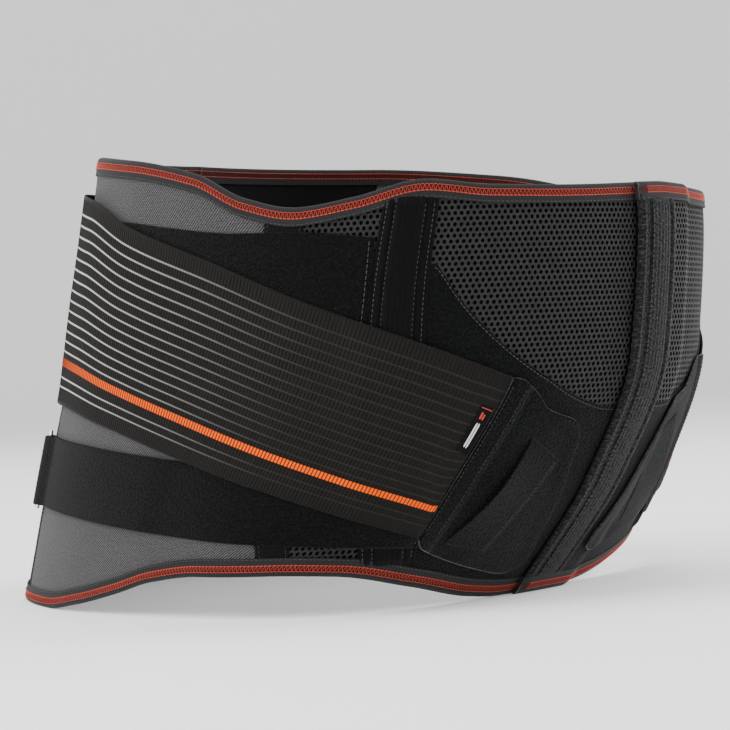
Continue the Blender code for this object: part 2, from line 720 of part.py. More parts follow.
def build_tab(side, velour, hook):
    """The pull tab, the hook patch under it and the finger pocket on it."""
    word = "left" if side > 0 else "right"
    outline = shifted(TAB_SEAM + TAB_OUTLINE, side)
    ramps = TAB_RAMP + (CLOSURE_RAMP if side > 0 else ())
    low, high = TAB_HEIGHTS
    ribs = [((w * side, low), (w * side, high)) for w in ramps]
    sheet(
        f"pull_tab_{word}", velour, outline, tab_offset(side), tab_offset(side, TAB_THICK), ribs
    )
    middle = Vector(TAB_MIDDLE)
    inset = [middle + (Vector(p) - middle) * HOOK_SHARE for p in TAB_SEAM + TAB_OUTLINE]
    below = -HOOK_GAP
    sheet(
        f"hook_patch_{word}", hook, shifted([(p.x, p.y) for p in inset], side),
        tab_offset(side, below - HOOK_THICK), tab_offset(side, below), ribs,
    )

    def pocket_place(across, along):
        return (
            POCKET_CORNER[0] + across * POCKET_ACROSS[0] + along * POCKET_ALONG[0],
            POCKET_CORNER[1] + across * POCKET_ACROSS[1] + along * POCKET_ALONG[1],
        )

    dw, dz = tab_shift(side)

    def bulge(w, z):
        x, y = abs(w) - dw - POCKET_CORNER[0], z - dz - POCKET_CORNER[1]
        scale = POCKET_ACROSS[0] * POCKET_ALONG[1] - POCKET_ALONG[0] * POCKET_ACROSS[1]
        across = (x * POCKET_ALONG[1] - y * POCKET_ALONG[0]) / scale
        along = (y * POCKET_ACROSS[0] - x * POCKET_ACROSS[1]) / scale
        across, along = min(max(across, 0.0), 1.0), min(max(along, 0.0), 1.0)
        return POCKET_BULGE * across**0.8 * math.sin(math.pi * along) ** 0.6

    base = tab_offset(side, TAB_THICK + LAYER_GAP)
    corners = [pocket_place(*c) for c in ((0, 0), (0, 1), (1, 1), (1, 0))]
    lines = [[pocket_place(k / 4, 0), pocket_place(k / 4, 1)] for k in (1, 2, 3)]
    lines += [[pocket_place(0, k / 6), pocket_place(1, k / 6)] for k in (1, 2, 3, 4, 5)]
    sheet(
        f"finger_pocket_{word}", velour, shifted(corners, side),
        lambda w, z: base(w, z) + bulge(w, z),
        lambda w, z: base(w, z) + bulge(w, z) + POCKET_THICK,
        [shifted(line, side) for line in lines] + ribs,
    )


def build_front(side, looks):
    """One front half: everything from the hinge line at the side to the closure."""
    word = "left" if side > 0 else "right"
    gap = 0.25 / HALF_GIRTH

    def line(ends, shift=0.0):
        return lambda z: seam(ends, z) + shift

    hinge = hinge_line(-HINGE_GAP)
    closure = CLOSURE_OUTER_END if side > 0 else -CLOSURE_INNER_END
    sheet(
        f"grey_panel_side_{word}", looks["grey"],
        mirrored(panel_outline(line(TAPE_REAR, gap), hinge), side), 0, PANEL,
    )
    sheet(
        f"rear_tape_{word}", looks["tape"],
        mirrored(panel_outline(line(TAPE_FRONT, gap), line(TAPE_REAR, -gap)), side), 0, PANEL,
    )
    sheet(
        f"side_mesh_{word}", looks["mesh"],
        mirrored(panel_outline(line(FRONT_CASING_EDGE, gap), line(TAPE_FRONT, -gap)), side),
        0, PANEL,
    )

    mesh_outline, velour_outline = front_outlines(closure, line(FRONT_CASING_EDGE, -gap))
    ribs = [((w, -5), (w, 245)) for w in CLOSURE_RAMP] if side > 0 else []
    for label, finish, cut in (
        ("front_mesh", looks["mesh"], mesh_outline), ("front_velour", looks["velour"], velour_outline)
    ):
        sheet(
            f"{label}_{word}", finish, mirrored(cut, side), lifted(0, side), lifted(PANEL, side),
            ribs,
        )

    middle = (
        (FRONT_CASING_EDGE[0] + REAR_CASING_EDGE[0]) / 2,
        (FRONT_CASING_EDGE[1] + REAR_CASING_EDGE[1]) / 2,
    )
    half = (REAR_CASING_EDGE[0] - FRONT_CASING_EDGE[0]) / 2 * HALF_GIRTH - 0.6
    low = meet(line(middle), bottom_edge, 20) + BINDING_DEPTH + CASING_END_GAP
    high = meet(line(middle), top_edge, 235) - BINDING_DEPTH - CASING_END_GAP
    centre = line(middle)
    casing(f"side_casing_{word}", looks["tape"], lambda z: side * centre(z), half, low, high)
    stay(
        f"side_stay_{word}", looks["steel"], lambda z: side * centre(z),
        low + STAY_INSET / 2, high - STAY_INSET / 2,
    )
    ramps = list(CLOSURE_RAMP) if side > 0 else []
    for label, upper in (("top", True), ("bottom", False)):
        rounds = sorted(steps(closure, meet_hinge(upper) - NEAR_HINGE)[:-1] + ramps)
        rounds += [hinge_line(-SPLIT_TAPE), hinge_line(-HINGE_GAP)]
        placed = [signed(place, side) for place in rounds]
        binding(f"binding_{label}_front_{word}", looks["binding"], placed, upper, side)


def signed(place, side):
    """A round, or a function of height that gives one, on the given side."""
    if callable(place):
        return lambda z: side * place(z)
    return side * place


def build_closure(looks):
    """The boned closure: casing and stay on the outer half, hook under it, loop on the inner half."""
    low, high = BINDING_DEPTH + CASING_END_GAP, top_edge(0) - BINDING_DEPTH - CASING_END_GAP
    casing(
        "centre_casing", looks["tape"], lambda z: CASING_CENTRE, CENTRE_CASING_HALF, low, high,
        CLOSURE_LIFT,
    )
    stay(
        "centre_stay", looks["steel"], lambda z: CASING_CENTRE, low + STAY_INSET / 2,
        high - STAY_INSET / 2, CLOSURE_LIFT,
    )
    ends = CLOSURE_STRIP_ENDS
    hook_outer = CLOSURE_LIFT - LAYER_GAP
    outline = [(ends[0], low), (ends[1], low), (ends[1], high), (ends[0], high)]
    sheet("closure_hook", looks["hook"], outline, hook_outer - HOOK_THICK, hook_outer)
    loop_inner = PANEL + LAYER_GAP
    sheet("closure_loop", looks["loop"], outline, loop_inner, loop_inner + HOOK_THICK)


def build_back(looks):
    """The back: centre panel, grey panels, stays, lumbar pad and the bound edges."""
    gap = 0.25 / HALF_GIRTH
    edge = BACK_PANEL_EDGE[0] + gap
    half = steps(edge, 1.0)
    rounds = half + [2 - w for w in half[-2::-1]]
    outline = [(w, bottom_edge(min(w, 2 - w)) + EDGE_IN_BINDING) for w in rounds]
    outline += [(w, top_edge(min(w, 2 - w)) - EDGE_IN_BINDING) for w in rounds[::-1]]
    sheet("back_panel", looks["tape"], outline, 0, PANEL)
    for side, word in ((1, "left"), (-1, "right")):
        cut = panel_outline(hinge_line(HINGE_GAP), lambda z: BACK_PANEL_EDGE[0] - gap)
        sheet(f"grey_panel_rear_{word}", looks["grey"], mirrored(cut, side), 0, PANEL)
        low = bottom_edge(BACK_CASING_ROUND) + BINDING_DEPTH + CASING_END_GAP
        high = top_edge(BACK_CASING_ROUND) - BINDING_DEPTH - CASING_END_GAP
        casing(
            f"back_casing_{word}", looks["tape"], lambda z: side * BACK_CASING_ROUND,
            BACK_CASING_HALF, low, high,
        )
        stay(
            f"back_stay_{word}", looks["steel"], lambda z: side * BACK_CASING_ROUND,
            low + STAY_INSET / 2, high - STAY_INSET / 2,
        )
    low, high = PAD_HEIGHTS
    left, right = 1 - PAD_HALF_ROUND, 1 + PAD_HALF_ROUND
    cut, rise = PAD_CORNER
    outline = [
        (left + cut, low), (right - cut, low), (right, low + rise), (right, high - rise),
        (right - cut, high), (left + cut, high), (left, high - rise), (left, low + rise),
    ]
    sheet("lumbar_pad", looks["pad"], outline, *PAD_OFFSETS)

    def far_side(place):
        if callable(place):
            return lambda z: -place(z)
        return 2 - place

    for label, upper in (("top", True), ("bottom", False)):
        half = [hinge_line(HINGE_GAP), hinge_line(SPLIT_TAPE)]
        half += steps(meet_hinge(upper) + NEAR_HINGE, 1.0)[1:]
        rounds = half + [far_side(place) for place in half[-2::-1]]
        rounds = [p if callable(p) else (p if p <= 1 else p - 2) for p in rounds]
        binding(f"binding_{label}_back", looks["binding"], rounds, upper)


def add_pivot(name, place, under=None):
    """An empty on a joint's axis. place is in millimetres, in the whole object's frame."""
    made = bpy.data.objects.new(name, None)
    bpy.context.collection.objects.link(made)
    made.location = (place - Vector(under["place"]) if under else place) * MM
    made.parent = under
    made["place"] = list(place)
    return made


def hang(pivot, names):
    """Parent pieces to a pivot without moving them."""
    for name in names:
        piece = bpy.data.objects[name]
        piece.parent = pivot
        piece.location = Vector(pivot["place"]) * -MM


def add_pivots():
    """Each front half turns at its side, each pull tab at its seam, each lower ring at its rear bar."""
    closure_pieces = {"left": ("centre_casing", "centre_stay", "closure_hook"),
                      "right": ("closure_loop", "label")}
    front = (
        "grey_panel_side", "rear_tape", "side_mesh", "side_casing", "side_stay", "front_mesh",
        "front_velour", "upper_strap_front", "lower_strap_front", "band_front",
        "binding_top_front", "binding_bottom_front",
    )
    for side, word in ((1, "left"), (-1, "right")):
        place = Vector((side * (HALF_WIDTH + HINGE_OFFSET), HINGE_Y, 0))
        half = add_pivot(f"front_{word}_pivot", place)
        hang(half, [f"{piece}_{word}" for piece in front] + list(closure_pieces[word]))
        low = shifted(TAB_SEAM, side)[0]
        tab = add_pivot(f"tab_{word}_pivot", on_torso(*low, TAB_AXIS_OFFSET), half)
        hang(tab, [f"{piece}_{word}" for piece in ("pull_tab", "hook_patch", "finger_pocket")])
        height = strap_edges(LOWER_STRAP)(RING_BAR_REAR)[0]
        place = on_torso(side * RING_BAR_REAR, height, LOWER_RING_OFFSET)
        hang(add_pivot(f"ring_{word}_pivot", place), [f"lower_ring_{word}"])


def main():
    for old in list(bpy.data.objects):
        bpy.data.objects.remove(old)
    looks = {
        "grey": material("grey_twill", (0.085, 0.083, 0.088), 0.85),
        "tape": material("black_tape", (0.012, 0.012, 0.013), 0.8),
        "mesh": material("hex_mesh", (0.035, 0.034, 0.034), 0.75),
        "velour": material("black_velour", (0.009, 0.010, 0.012), 0.95),
        "strap": material("strap_velour", (0.010, 0.010, 0.011), 0.95),
        "elastic": material("ribbed_elastic", (0.022, 0.021, 0.020), 0.7),
        "binding": material("edge_binding", (0.035, 0.036, 0.038), 0.75),
        "hook": material("hook_tape", (0.015, 0.015, 0.015), 0.6),
        "loop": material("loop_tape", (0.013, 0.013, 0.013), 0.9),
        "label": material("woven_label", (0.010, 0.010, 0.010), 0.5),
        "pad": material("lumbar_pad", (0.020, 0.020, 0.022), 0.85),
        "steel": material("bright_steel", (0.62, 0.62, 0.62), 0.25, 1.0),
    }
    build_back(looks)
    build_closure(looks)
    for side in (1, -1):
        build_front(side, looks)
        for label, strap, offset, slack in (
            ("upper", UPPER_STRAP, UPPER_RING_OFFSET, UPPER_RING_SLACK),
            ("lower", LOWER_STRAP, LOWER_RING_OFFSET, LOWER_RING_SLACK),
        ):
            build_strap(label, strap, offset, slack, side, looks["strap"])
            build_ring(label, strap, offset, slack, side, looks["steel"], looks["tape"])
        build_band(side, looks["elastic"])
        build_tab(side, looks["velour"], looks["hook"])
    sheet(
        "label", looks["label"], mirrored(LABEL_CORNERS, -1),
        band_offset(-1, BAND_THICK + LAYER_GAP), band_offset(-1, BAND_THICK + LAYER_GAP + LABEL_THICK),
    )
    add_pivots()


main()
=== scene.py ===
"""Looks of the lumbar support belt: cloth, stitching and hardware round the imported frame.

Lengths here are millimetres until a mesh is made. A place on the belt is (round, height, offset),
as in the design: round goes from 0 at the front centre to 1 at the back centre, positive on the
wearer's left; offset is measured level, outwards from the inner face of the panels.
"""

import math

import bmesh
import bpy
import numpy as np
from mathutils import Matrix, Vector
from mathutils.geometry import delaunay_2d_cdt


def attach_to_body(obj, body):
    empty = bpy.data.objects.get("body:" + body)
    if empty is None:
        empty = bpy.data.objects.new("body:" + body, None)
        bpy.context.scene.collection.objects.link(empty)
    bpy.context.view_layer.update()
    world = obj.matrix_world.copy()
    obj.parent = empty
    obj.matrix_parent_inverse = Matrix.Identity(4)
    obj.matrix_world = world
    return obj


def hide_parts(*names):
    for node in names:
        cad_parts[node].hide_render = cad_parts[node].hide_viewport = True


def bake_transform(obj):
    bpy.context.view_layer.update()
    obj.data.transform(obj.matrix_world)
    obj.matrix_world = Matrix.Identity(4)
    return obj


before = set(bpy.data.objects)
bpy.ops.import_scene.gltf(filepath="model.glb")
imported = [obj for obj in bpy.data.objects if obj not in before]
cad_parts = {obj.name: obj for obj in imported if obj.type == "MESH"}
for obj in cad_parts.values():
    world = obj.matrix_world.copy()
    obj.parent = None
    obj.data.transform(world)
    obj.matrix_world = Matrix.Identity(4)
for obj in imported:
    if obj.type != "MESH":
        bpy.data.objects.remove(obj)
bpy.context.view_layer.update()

MM = 0.001
WORDS = {1: "left", -1: "right"}

# The torso that the belt is wrapped round.
HALF_WIDTH = 183.0
DEPTHS = ((0, 96, 254), (70, 149, 231), (140, 179, 205), (210, 183, 182), (280, 171, 163))
FRONT_POWER, BACK_POWER = 2.04, 2.2
WIDEST_Y = -24.9
FORWARD_LEAN = 0.0585
HALF_GIRTH = 580.0

TOP_EDGE = (
    (0, 236), (0.12, 234), (0.2, 235), (0.265, 239), (0.33, 231), (0.385, 227), (0.44, 234),
    (0.5, 250), (0.6, 262), (0.75, 270), (1, 272),
)
BOTTOM_EDGE = (
    (0, 0), (0.05, 0), (0.1, 2.5), (0.185, 13), (0.27, 22.5), (0.34, 24.5), (0.41, 24.5),
    (0.47, 20.5), (0.52, 12.5), (0.585, 4.5), (0.65, 0), (0.77, 0), (1, 4),
)
SEAM_HEIGHTS = (22.0, 233.0)
SEAM_BOW = 0.029
FRONT_CASING_EDGE = (0.190, 0.250)
REAR_CASING_EDGE = (0.246, 0.300)
TAPE_FRONT = (0.309, 0.374)
TAPE_REAR = (0.341, 0.415)
BACK_PANEL_EDGE = 0.745
CLOSURE_OUTER_END, CLOSURE_INNER_END = -0.038, 0.030
CASING_CENTRE, CENTRE_CASING_HALF = -0.008, 17.0
CASING_WRAP = 0.0027
BACK_CASING_ROUND, BACK_CASING_HALF = 0.962, 15.0
MESH_SEAM = (
    (-0.04, 111), (0, 109), (0.045, 110), (0.09, 117), (0.127, 128), (0.154, 137), (0.186, 151),
    (0.22, 170), (0.25, 193),
)
BAND_TOP = (
    (0.167, 129), (0.257, 150), (0.372, 176), (0.471, 200), (0.589, 224), (0.675, 243), (0.78, 250),
    (0.93, 252),
)
BAND_BOTTOM = (
    (0.206, 42), (0.279, 55), (0.368, 72), (0.468, 90), (0.604, 111), (0.719, 122), (0.8, 124),
    (0.93, 124),
)
BAND_REAR_END = 0.93
TAB_SEAM = ((0.206, 42), (0.167, 129))
TAB_OUTLINE = (
    (0.154, 127), (0.134, 118), (0.122, 111), (0.106, 107), (0.09, 104), (0.078, 99), (0.072, 93),
    (0.066, 76), (0.06, 58), (0.056, 40), (0.05, 25), (0.054, 18), (0.07, 15), (0.088, 15.5),
    (0.107, 18), (0.146, 24), (0.189, 33), (0.201, 37),
)
LEFT_TAB_SHIFT = (-0.027, 7.0)
LEFT_SEAM_SHIFT = (-0.011, 7.0)
POCKET_SEWN = ((0.084, 80.5), (0.121, 28.0))
POCKET_MOUTH = ((0.128, 95.0), (0.176, 37.5))
LABEL_CORNERS = ((0.1915, 115), (0.1785, 112), (0.189, 86.5), (0.202, 90.5))
UPPER_STRAP_TOP = (
    (0.305, 208), (0.38, 213.5), (0.448, 215), (0.53, 221), (0.6, 227), (0.75, 235),
)
LOWER_STRAP_TOP = ((0.2, 78), (0.35, 84), (0.47, 90), (0.54, 94), (0.65, 100), (0.75, 104))
UPPER_STRAP_WIDTH, LOWER_STRAP_WIDTH = 50.0, 42.0
UPPER_RETURN, LOWER_RETURN = 0.6, 0.5
RING_BAR_FRONT, RING_BAR_REAR, WEBBING_END = 0.745, 0.772, 0.805

# Layers, as thicknesses or offsets.
PANEL = 2.6
STRAP_THICK = 1.0
BAND_THICK = 1.2
POCKET_THICK = 0.9
TAB_THICK = 1.8
CLOSURE_RAMP = (0.043, 0.08)
CLOSURE_LIFT = 5.8
EDGE_IN_BINDING = 1.4


# ---- Curves and the torso ----

def hermite(t, start, end, leaving, arriving):
    """A cubic from start to end, t from 0 to 1, with its slopes at both ends."""
    return (
        (2 * t**3 - 3 * t**2 + 1) * start + (t**3 - 2 * t**2 + t) * leaving
        + (3 * t**2 - 2 * t**3) * end + (t**3 - t**2) * arriving
    )


def curve(points):
    """A smooth curve through (x, y) points that never overshoots them."""
    xs, ys = (np.array(c, float) for c in zip(*points))
    slopes = np.diff(ys) / np.diff(xs)
    a, b = slopes[:-1], slopes[1:]
    same = a * b > 0
    bends = np.where(same, 2 * a * b / np.where(same, a + b, 1), 0)
    tangents = np.concatenate([slopes[:1], bends, slopes[-1:]])

    def at(x):
        x = np.clip(x, xs[0], xs[-1])
        i = np.clip(np.searchsorted(xs, x, "right") - 1, 0, len(xs) - 2)
        step = xs[i + 1] - xs[i]
        t = (x - xs[i]) / step
        return hermite(t, ys[i], ys[i + 1], step * tangents[i], step * tangents[i + 1])

    return at


def ramp(x, start, end):
    """0 before start, 1 after end, smooth between."""
    t = np.clip((np.asarray(x, float) - start) / (end - start), 0, 1)
    return t * t * (3 - 2 * t)


def bump(x, centre, half):
    """A soft ridge of height 1 at centre that ends half away from it."""
    t = np.clip(1 - ((np.asarray(x, float) - centre) / half) ** 2, 0, None)
    return t * t


COLUMNS = 360
LOWEST, ROW_STEP, ROWS = -12.0, 4.0, 78
SECTION_STEPS = 3001


def torso_table():
    """Level sections of the torso: x, y and outward normal at equal steps of half the girth."""
    front, back = (curve([(d[0], d[k]) for d in DEPTHS]) for k in (1, 2))
    turn = np.linspace(0, math.pi, SECTION_STEPS)
    forwards = np.cos(turn) >= 0
    power = np.where(forwards, 2 / FRONT_POWER, 2 / BACK_POWER)
    rows = []
    for k in range(ROWS):
        z = LOWEST + ROW_STEP * k
        x = HALF_WIDTH * np.abs(np.sin(turn)) ** power
        y = np.where(forwards, -front(z), back(z)) * np.abs(np.cos(turn)) ** power
        y = y + WIDEST_Y - FORWARD_LEAN * z
        run = np.concatenate([[0], np.cumsum(np.hypot(np.diff(x), np.diff(y)))])
        at = np.linspace(0, run[-1], COLUMNS + 1)
        x, y = np.interp(at, run, x), np.interp(at, run, y)
        full_x = np.concatenate([-x[1:2], x, -x[-2:-1]])
        full_y = np.concatenate([y[1:2], y, y[-2:-1]])
        dx, dy = full_x[2:] - full_x[:-2], full_y[2:] - full_y[:-2]
        length = np.hypot(dx, dy)
        rows.append(np.stack([x, y, dy / length, -dx / length], -1))
    return np.array(rows)


TORSO = torso_table()


def on_torso(w, z, offset=0.0):
    """Points, in metres, at places on the belt."""
    w, z, offset = np.broadcast_arrays(np.asarray(w, float), z, offset)
    around = (w + 1) % 2 - 1
    side = np.where(around < 0, -1.0, 1.0)
    u = np.abs(around) * COLUMNS
    i = np.clip(u.astype(int), 0, COLUMNS - 1)
    r = (z - LOWEST) / ROW_STEP
    j = np.clip(r.astype(int), 0, ROWS - 2)
    f, g = (u - i)[..., None], (r - j)[..., None]
    low = TORSO[j, i] * (1 - f) + TORSO[j, i + 1] * f
    high = TORSO[j + 1, i] * (1 - f) + TORSO[j + 1, i + 1] * f
    here = low * (1 - g) + high * g
    x = side * (here[..., 0] + here[..., 2] * offset)
    y = here[..., 1] + here[..., 3] * offset
    return np.stack([x, y, z], -1) * MM


top_edge_at, bottom_edge_at = curve(TOP_EDGE), curve(BOTTOM_EDGE)
mesh_seam_at = curve(MESH_SEAM)


def top_edge(w):
    return top_edge_at(np.abs(w))


def bottom_edge(w):
    return bottom_edge_at(np.abs(w))


def seam(ends, z):
    """The round of a bowed seam at a height."""
    low, high = SEAM_HEIGHTS
    t = (z - low) / (high - low)
    return ends[0] + (ends[1] - ends[0]) * t + SEAM_BOW * 4 * t * (1 - t)


def closure_end(side):
    """The round, on its own side, where a front half ends."""
    return CLOSURE_OUTER_END if side > 0 else -CLOSURE_INNER_END


def lift(w, side):
    """How far the outer, left front half stands over the inner one."""
    if side < 0:
        return np.zeros_like(np.asarray(w, float))
    return CLOSURE_LIFT * (1 - ramp(w, *CLOSURE_RAMP))


# ---- Meshes ----

def make_piece(name, points, faces, flat, materials, groups=None):
    """A smooth mesh object. faces is a list of index arrays; groups gives each one's material."""
    mesh = bpy.data.meshes.new(name)
    points = np.asarray(points, float).reshape(-1, 3)
    mesh.vertices.add(len(points))
    mesh.vertices.foreach_set("co", points.astype(np.float32).ravel())
    sizes = np.concatenate([np.full(len(f), f.shape[1]) for f in faces])
    loops = np.concatenate([f.ravel() for f in faces]).astype(np.int32)
    starts = np.concatenate([[0], np.cumsum(sizes)[:-1]]).astype(np.int32)
    mesh.loops.add(len(loops))
    mesh.loops.foreach_set("vertex_index", loops)
    mesh.polygons.add(len(sizes))
    mesh.polygons.foreach_set("loop_start", starts)
    if groups is not None:
        index = np.concatenate([np.full(len(f), g) for f, g in zip(faces, groups)])
        mesh.polygons.foreach_set("material_index", index.astype(np.int32))
    mesh.polygons.foreach_set("use_smooth", np.ones(len(sizes), bool))
    layer = mesh.uv_layers.new(name="flat")
    flat = np.asarray(flat, float).reshape(-1, 2) * MM
    layer.data.foreach_set("uv", flat[loops].astype(np.float32).ravel())
    mesh.update(calc_edges=True)
    for one in materials:
        mesh.materials.append(one)
    made = bpy.data.objects.new(name, mesh)
    bpy.context.scene.collection.objects.link(made)
    return made


def grid_faces(rows, columns, start=0, wrap=False):
    """The quads of a grid of points; wrap joins the last column to the first."""
    index = np.arange(rows * columns).reshape(rows, columns) + start
    if wrap:
        index = np.concatenate([index, index[:, :1]], 1)
    a, b = index[:-1, :-1], index[:-1, 1:]
    c, d = index[1:, 1:], index[1:, :-1]
    return np.stack([a, b, c, d], -1).reshape(-1, 4)


def outwards(points, quads, directions):
    """Whether most of the quads face along the directions given for their first corners."""
    p = points[quads]
    normal = np.cross(p[:, 2] - p[:, 0], p[:, 3] - p[:, 1])
    return (normal * directions[quads[:, 0]]).sum() > 0


def skinned(name, outer, inner, flat, materials):
    """A closed sheet from two matching grids: skins of material 0, a rim of the last one."""
    rows, columns = outer.shape[:2]
    points = np.concatenate([outer.reshape(-1, 3), inner.reshape(-1, 3)])
    count = rows * columns
    top = grid_faces(rows, columns)
    bottom = grid_faces(rows, columns, count)[:, ::-1]
    index = np.arange(count).reshape(rows, columns)
    border = np.concatenate([
        index[0, :-1], index[:-1, -1], index[-1, :0:-1], index[:0:-1, 0]
    ])
    after = np.roll(border, -1)
    rim = np.stack([after, border, border + count, after + count], -1)
    across = (outer - inner).reshape(-1, 3)
    if not outwards(points, top, across):
        top, bottom, rim = top[:, ::-1], bottom[:, ::-1], rim[:, ::-1]
    uv = np.concatenate([flat.reshape(-1, 2)] * 2)
    return make_piece(
        name, points, [top, bottom, rim], uv, materials, (0, 0, len(materials) - 1)
    )


FINE_EDGE = (0.0, 0.25, 0.6, 1.0, 1.5, 1.9, 2.2, 2.5, 2.9, 3.5, 4.5, 6.0)


MIDDLE_HEIGHT = 100.0
SETTLING_PASSES = 12
EDGE_SHARE = 0.08


def graded(length, step=3.0, fine=FINE_EDGE):
    """Shares from 0 to 1 along a length, close together near both ends."""
    fine = np.array(fine)
    middle = length - 2 * fine[-1]
    count = max(int(middle / step), 1)
    inside = fine[-1] + middle * np.arange(1, count) / count
    return np.concatenate([fine, inside, length - fine[::-1]]) / length


def fill_panel(front, rear, low, high, width, height, step=3.0):
    """A grid between two upright lines and two edge curves.

    Its rounds and heights come first, then the distances to the front, rear, low and high edge.
    """
    s, t = np.meshgrid(graded(width, step), graded(height, step))
    w = front(MIDDLE_HEIGHT) + (rear(MIDDLE_HEIGHT) - front(MIDDLE_HEIGHT)) * s
    z = MIDDLE_HEIGHT + 0 * s
    for _ in range(SETTLING_PASSES):
        z = low(w) + (high(w) - low(w)) * t
        w = front(z) + (rear(z) - front(z)) * s
    return w, z, width * s, width * (1 - s), height * t, height * (1 - t)


def rounded(distance, radius):
    """From EDGE_SHARE at an edge to 1 at radius from it, along a quarter circle."""
    t = np.clip(distance / radius, 0, 1)
    return EDGE_SHARE + (1 - EDGE_SHARE) * np.sqrt(np.clip(1 - (1 - t) ** 2, 0, 1))


def flat_places(w, z):
    """Places on the unrolled belt, in millimetres."""
    return np.stack([w * HALF_GIRTH, z], -1)


def skins_of(w, z, inner, outer, edge, radius, middle=None):
    """The outer and inner skin of a sheet whose edges are rounded over a radius."""
    if middle is None:
        middle = (inner + outer) / 2
    swell = rounded(edge, radius)
    return [on_torso(w, z, middle + (limit - middle) * swell) for limit in (outer, inner)]


def lay_cloth(name, w, z, inner, outer, edge, radius, side, look):
    """A sheet between two offsets, from a grid of rounds and heights."""
    skins = skins_of(w * side, z, inner, outer, edge, radius)
    return skinned(name, *skins, flat_places(w, z), [LOOKS[look]])


THREAD_END = 0.45
THREAD_SIDES = 6


def tubes(name, lines, radius, sides, look, flat_scale=1.0, closed=False):
    """Threads or wires along lines of points, in metres, that all have the same count."""
    lines = np.asarray(lines, float)
    if lines.ndim == 2:
        lines = lines[None]
    count, steps = lines.shape[:2]
    if closed:
        along = np.roll(lines, -1, 1) - np.roll(lines, 1, 1)
    else:
        along = np.gradient(lines, axis=1)
    along /= np.linalg.norm(along, axis=-1, keepdims=True) + 1e-12
    out = lines * (1, 1, 0)
    across = np.cross(along, out)
    across /= np.linalg.norm(across, axis=-1, keepdims=True) + 1e-12
    up = np.cross(across, along)
    turns = np.arange(sides) * 2 * math.pi / sides
    share = np.ones(steps)
    if not closed:
        share[0] = share[-1] = THREAD_END
    radius = np.asarray(radius) * MM * share[None, :, None, None]
    ring = (
        across[:, :, None] * np.cos(turns)[None, None, :, None]
        + up[:, :, None] * np.sin(turns)[None, None, :, None] * flat_scale
    )
    points = lines[:, :, None] + ring * radius
    step = steps * sides
    index = np.arange(count * step).reshape(count, steps, sides)
    nxt = np.roll(index, -1, 2)
    if closed:
        a, b = index, nxt
        c, d = np.roll(nxt, -1, 1), np.roll(index, -1, 1)
    else:
        a, b = index[:, :-1], nxt[:, :-1]
        c, d = nxt[:, 1:], index[:, 1:]
    quads = np.stack([a, b, c, d], -1).reshape(-1, 4)
    faces = [quads]
    if not closed:
        faces += [index[:, 0, ::-1].reshape(-1, sides), index[:, -1].reshape(-1, sides)]
    length = np.concatenate([[0], np.cumsum(np.linalg.norm(np.diff(lines[0], axis=0), axis=-1))])
    u = np.broadcast_to(length[None, :, None] / MM, index.shape)
    v = np.broadcast_to(turns[None, None], index.shape)
    spokes = (points - lines[:, :, None]).reshape(-1, 3)
    if not outwards(points.reshape(-1, 3), quads, spokes):
        faces = [f[:, ::-1] for f in faces]
    return make_piece(name, points, faces, np.stack([u, v], -1), [LOOKS[look]])


def along_line(w, z, spacing):
    """Points a fixed spacing apart along a line of rounds and heights."""
    w, z = np.asarray(w, float), np.asarray(z, float)
    places = on_torso(w, z)
    run = np.concatenate([[0], np.cumsum(np.linalg.norm(np.diff(places, axis=0), axis=-1))]) / MM
    count = max(int(run[-1] / spacing), 1)
    at = np.linspace(0, run[-1], count + 1)
    return np.interp(at, run, w), np.interp(at, run, z)


STITCH_SUNK, STITCH_SHOULDER, STITCH_CROWN = -0.05, 0.16, 0.22


def stitches(name, w, z, offset, look="grey_thread", pitch=3.0, gap=0.9, radius=0.2):
    """A row of single stitches lying on a surface; offset is a number or a function."""
    share = gap / pitch / 2
    fine_w, fine_z = along_line(w, z, pitch)
    profile = (
        (share, STITCH_SUNK), (share + 0.12, STITCH_SHOULDER), (0.5, STITCH_CROWN),
        (0.88 - share, STITCH_SHOULDER), (1 - share, STITCH_SUNK),
    )
    lines = []
    for t, rise in profile:
        here_w = fine_w[:-1] * (1 - t) + fine_w[1:] * t
        here_z = fine_z[:-1] * (1 - t) + fine_z[1:] * t
        base = offset(here_w, here_z) if callable(offset) else offset
        lines.append(on_torso(here_w, here_z, base + rise))
    return tubes(name, np.stack(lines, 1), radius, THREAD_SIDES, look)


# ---- Materials ----

